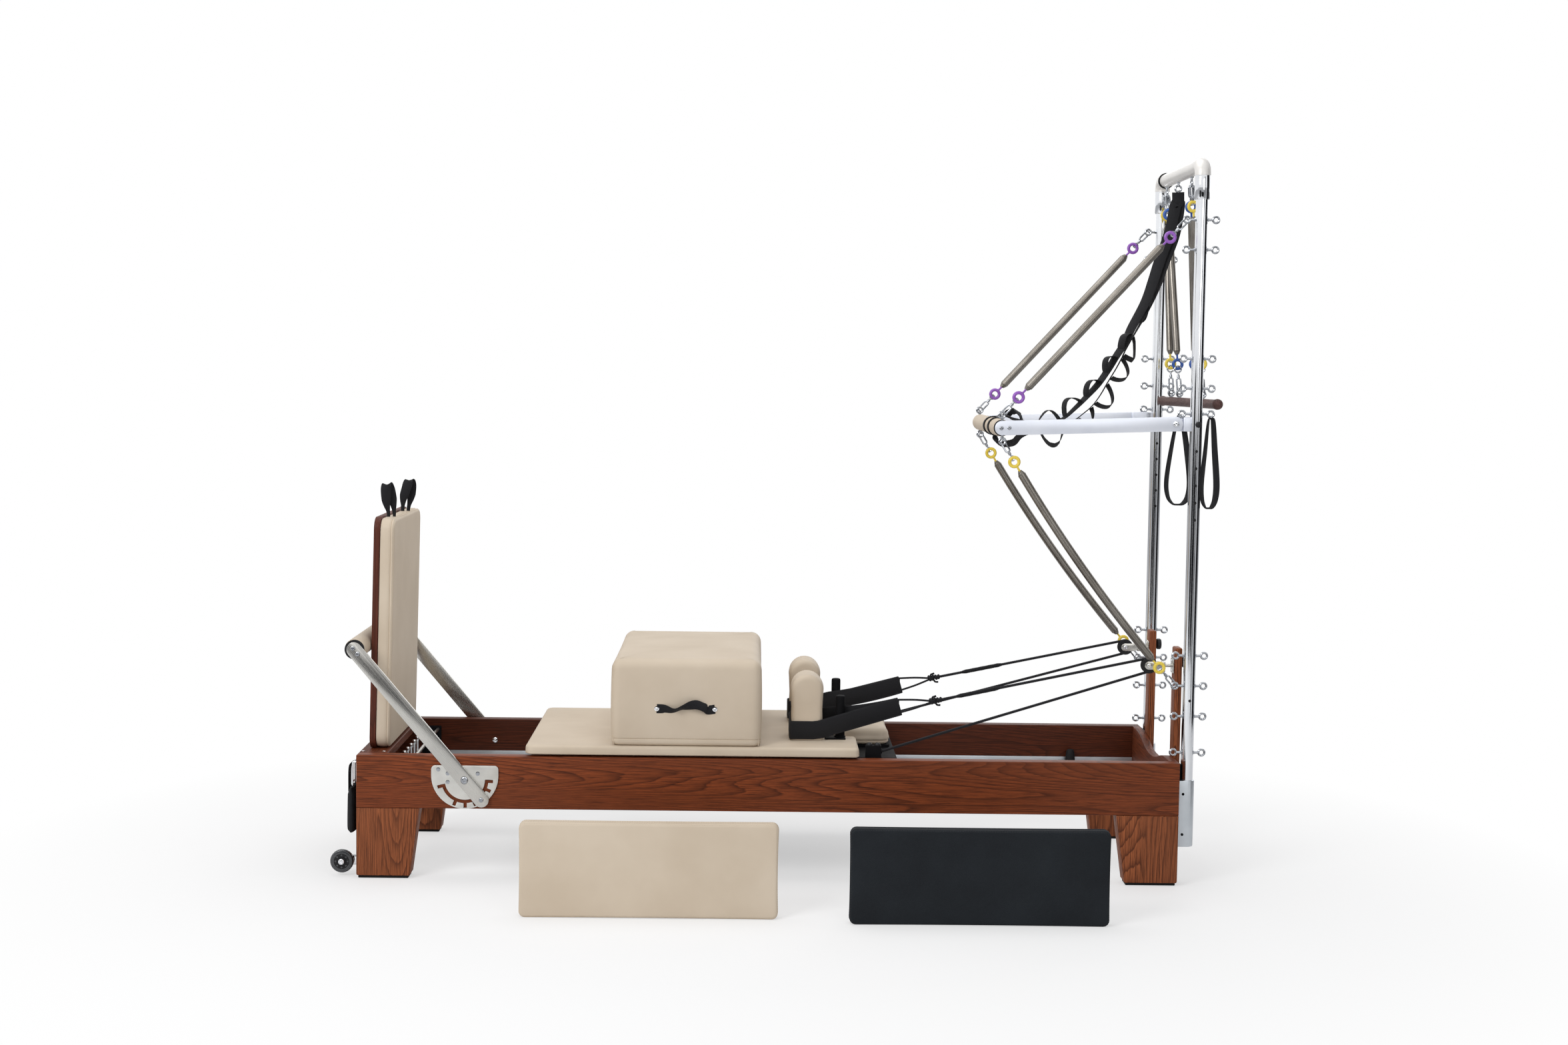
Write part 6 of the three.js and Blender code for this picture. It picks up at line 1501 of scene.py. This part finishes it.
def build_handle(side, y):
    """A twisted webbing handle between two bolts with washers."""
    face, z, left, right = BOX_LENGTH / 2 - 0.0025, 0.508, -0.329, -0.160
    points = (
        (left, 0.0018, 0), (left + 0.020, 0.0022, -0.001), (left + 0.048, 0.0085, -0.004),
        (left + 0.078, 0.0165, 0.006), (left + 0.112, 0.0180, 0.0150), (left + 0.138, 0.0110, 0.006),
        (right - 0.020, 0.0024, -0.002), (right, 0.0018, 0),
    )
    path = curve([at(x, y * (face + out), z + rise) for x, out, rise in points], 8)
    across = []
    for i in range(len(path)):
        share = i / (len(path) - 1)
        twist = 1.15 * exp(-(((share - 0.36) / 0.15) ** 2)) - 0.5 * exp(-(((share - 0.66) / 0.12) ** 2))
        across.append(Vector((0, y * sin(twist), cos(twist))))
    strap, metal = Part().strap(path, across, 0.027, STRAP_THICK), Part()
    washer = ((0.002, 0.0), (0.0070, 0.0), (0.0070, 0.0012), (0.002, 0.0016))
    for x in (left, right):
        strap.box(at(x - 0.014, y * face - 0.0018, z - 0.0145), at(x + 0.014, y * face + 0.0018, z + 0.0145), 0.0008)
        metal.lathe(washer, at(x, y * (face + 0.0028), z), (0, y, 0), 28)
        bolt(metal, at(x, y * (face + 0.004), z), (0, y, 0), 0.0046, 0.0030)
    made(strap, side + "_box_handle", WEBBING, "sitting_box", None, 50)
    made(metal, side + "_handle_bolts", CHROME, "sitting_box")


BOARD = Matrix.Translation(at(-1.160, 0, 0.3633)) @ Matrix.Rotation(radians(1.2), 4, "Y")
BOARD_HEIGHT, BOARD_CORNER = 0.685, 0.036


def build_jump_board():
    middle = BOARD_HEIGHT / 2
    outline = [(y, z + middle) for y, z in rounded_rectangle(0.516, BOARD_HEIGHT, BOARD_CORNER, 8)]
    panel = flat_plate(Part(), [outline], 0.018, 0.0025, BOARD @ Matrix.Translation((-0.009, 0, 0)) @ FACING_X)
    made(panel, "jump_panel", PANEL, "jump_board", "jump_board", 30)
    place = BOARD @ Matrix.Translation((0.0004, 0, middle)) @ Matrix.Rotation(pi / 2, 4, "Y")
    shape = (BOARD_CORNER, 0.010, 0.002, (0.0315,), 0.002, 0.001)
    upholstered("jump_pad", "jump_stitches", "jump_board", None, (0.677, 0.512, 0.0436), place, shape)
    foot, high = 0.008, 0.668
    widths_at = (
        (0.0, 0.009), (0.13, 0.012), (0.25, 0.027), (0.38, 0.031), (0.62, 0.031), (0.75, 0.027), (0.87, 0.012),
        (1.0, 0.009),
    )
    # Each point of a loop: out from the board and its share of the lean, across in feet, and height
    route = (
        (0.010, 0.0, -1.0, high), (0.008, 0.1, -1.0, 0.694), (0.004, 0.45, -1.15, 0.722), (0.004, 0.9, -0.9, 0.752),
        (0.006, 1.1, -0.3, 0.7715), (0.010, 1.15, 0.35, 0.7730), (0.016, 1.0, 0.95, 0.755), (0.021, 0.6, 1.2, 0.724),
        (0.023, 0.15, 1.0, 0.694), (0.023, 0.0, 1.0, high),
    )
    loops = Part()
    for y, lean, twist in ((-0.150, -0.006, 0.35), (0.105, 0.017, -0.2)):
        points = [(x + lean * share, y + foot * out, z) for x, share, out, z in route]
        path = curve([BOARD @ Vector(point) for point in points], 8)
        shares = [i / (len(path) - 1) for i in range(len(path))]
        turns = [twist + 0.9 * abs(2 * share - 1) ** 2 for share in shares]
        across = [Vector((cos(turn), sin(turn) * 0.6, 0.12)) for turn in turns]
        loops.strap(path, across, [between(widths_at, share) for share in shares], 0.0026)
    made(loops, "jump_loops", WEBBING, "jump_board", None, 50)


def build_mats():
    size, shape = (0.706, 0.262, 0.045), (0.017, 0.009, 0.003, (0.012, 0.034), 0.0022, 0.0008)
    for name, x, front, material, thread, slot in (
        ("pale_mat", -0.682, -0.786, CREAM, THREAD, "cream_upholstery"),
        ("dark_mat", 0.218, -0.830, DARK_HIDE, DARK_THREAD, "dark_upholstery"),
    ):
        place = Matrix.Translation(at(x + 0.353, front + 0.045, 0.131)) @ Matrix.Rotation(pi / 2, 4, "X")
        upholstered(
            name + "_cover", name + "_stitches", name, name, size, place, shape, material, thread
        )


# Studio
WHITE = (1, 1, 1, 1)


def build_world():
    world = bpy.data.worlds.new("studio")
    bpy.context.scene.world = world
    nodes = Nodes("studio", world)
    nodes.tree.nodes.clear()
    rays = nodes.node("ShaderNodeLightPath").outputs
    lit = nodes.node("ShaderNodeBackground", {"Color": (0.97, 0.98, 1.0, 1), "Strength": 0.42}).outputs[0]
    shown = nodes.node("ShaderNodeBackground", {"Color": WHITE, "Strength": 1.0}).outputs[0]
    seen = nodes.math("MAXIMUM", rays["Is Camera Ray"], rays["Is Transmission Ray"])
    seen = nodes.math("MAXIMUM", seen, rays["Is Glossy Ray"])
    both = nodes.node("ShaderNodeMixShader", {0: seen, 1: lit, 2: shown})
    nodes.node("ShaderNodeOutputWorld", {0: both.outputs[0]})


def sheet(name, corners, material):
    """A flat face of the studio."""
    mesh = bpy.data.meshes.new(name)
    mesh.from_pydata(corners, [], [(0, 1, 2, 3)])
    mesh.materials.append(material)
    return linked(name, mesh)


def build_floor():
    """A floor that catches shadows near the machine and fades to white away from it."""
    nodes = Nodes("floor")
    nodes.set(Base_Color=(0.92, 0.92, 0.92, 1), Roughness=0.9)
    glow = nodes.node("ShaderNodeEmission", {"Color": WHITE, "Strength": 1.0}).outputs[0]
    rays = nodes.node("ShaderNodeLightPath").outputs
    away = nodes.vector("LENGTH", nodes.place((1, 1, 0))).outputs["Value"]
    share = nodes.ramp(nodes.math("DIVIDE", away, 5.0), (0.24, 0.5), (0.5, 1.0))
    shown = nodes.math("MAXIMUM", rays["Is Camera Ray"], rays["Is Transmission Ray"])
    share = nodes.math("MULTIPLY", shown, share)
    both = nodes.node("ShaderNodeMixShader", {0: share, 1: nodes.shader.outputs[0], 2: glow})
    nodes.put(nodes.tree.nodes["Material Output"].inputs["Surface"], both.outputs[0])
    reach, z = 60, -0.0005
    corners = [(-reach, -reach, z), (reach, -reach, z), (reach, reach, z), (-reach, reach, z)]
    sheet("floor", corners, nodes.owner)


def build_flags():
    """Dark sheets that only reflections see, for the dark lines in bright metal."""
    dark = Nodes("flag")
    dark.set(Base_Color=(0.02, 0.02, 0.022, 1), Roughness=0.9, Specular_IOR_Level=0.0)
    for name, place, width, height, turn in (
        ("flag_right", (3.95, -0.75), 2.5, 3.6, 78),
        ("flag_slim", (2.55, -2.95), 0.55, 3.6, 24),
        ("flag_line", (0.85, -6.2), 0.34, 4.4, 4),
        ("flag_low", (-2.2, -3.9), 2.6, 1.5, -20),
        ("flag_front", (0.6, -5.2), 3.4, 1.1, 4),
    ):
        half = width / 2
        flag = sheet(name, [(-half, 0, 0), (half, 0, 0), (half, 0, height), (-half, 0, height)], dark.owner)
        flag.location = at(*place, 0.01)
        flag.rotation_euler = (0, 0, radians(turn))
        flag.visible_camera = flag.visible_diffuse = flag.visible_shadow = flag.visible_transmission = False


def build_lamps():
    for name, place, size, energy in (
        ("key", (-3.4, -4.4, 3.9), 2.4, 150),
        ("fill", (2.2, -5.4, 2.8), 2.6, 34),
        ("top", (-0.3, 0.3, 4.8), 3.2, 70),
        ("rim", (2.5, 5.0, 3.5), 3.0, 40),
    ):
        data = bpy.data.lights.new(name, "AREA")
        data.energy, data.size = energy, size
        lamp = linked(name, data)
        lamp.location = at(*place)
        lamp.rotation_euler = (at(0, 0, 0.7) - lamp.location).to_track_quat("-Z", "Y").to_euler()


build_frame()
build_legs()
build_transport()
build_pouch()
build_spring_bar()
build_footbar()
build_tower()
build_push_bar()
build_roll_bar()
build_springs()
build_hand_loops()
build_daisy_straps()
build_risers()
build_carriage()
build_sitting_box()
build_jump_board()
build_mats()
build_world()
build_floor()
build_flags()
build_lamps()
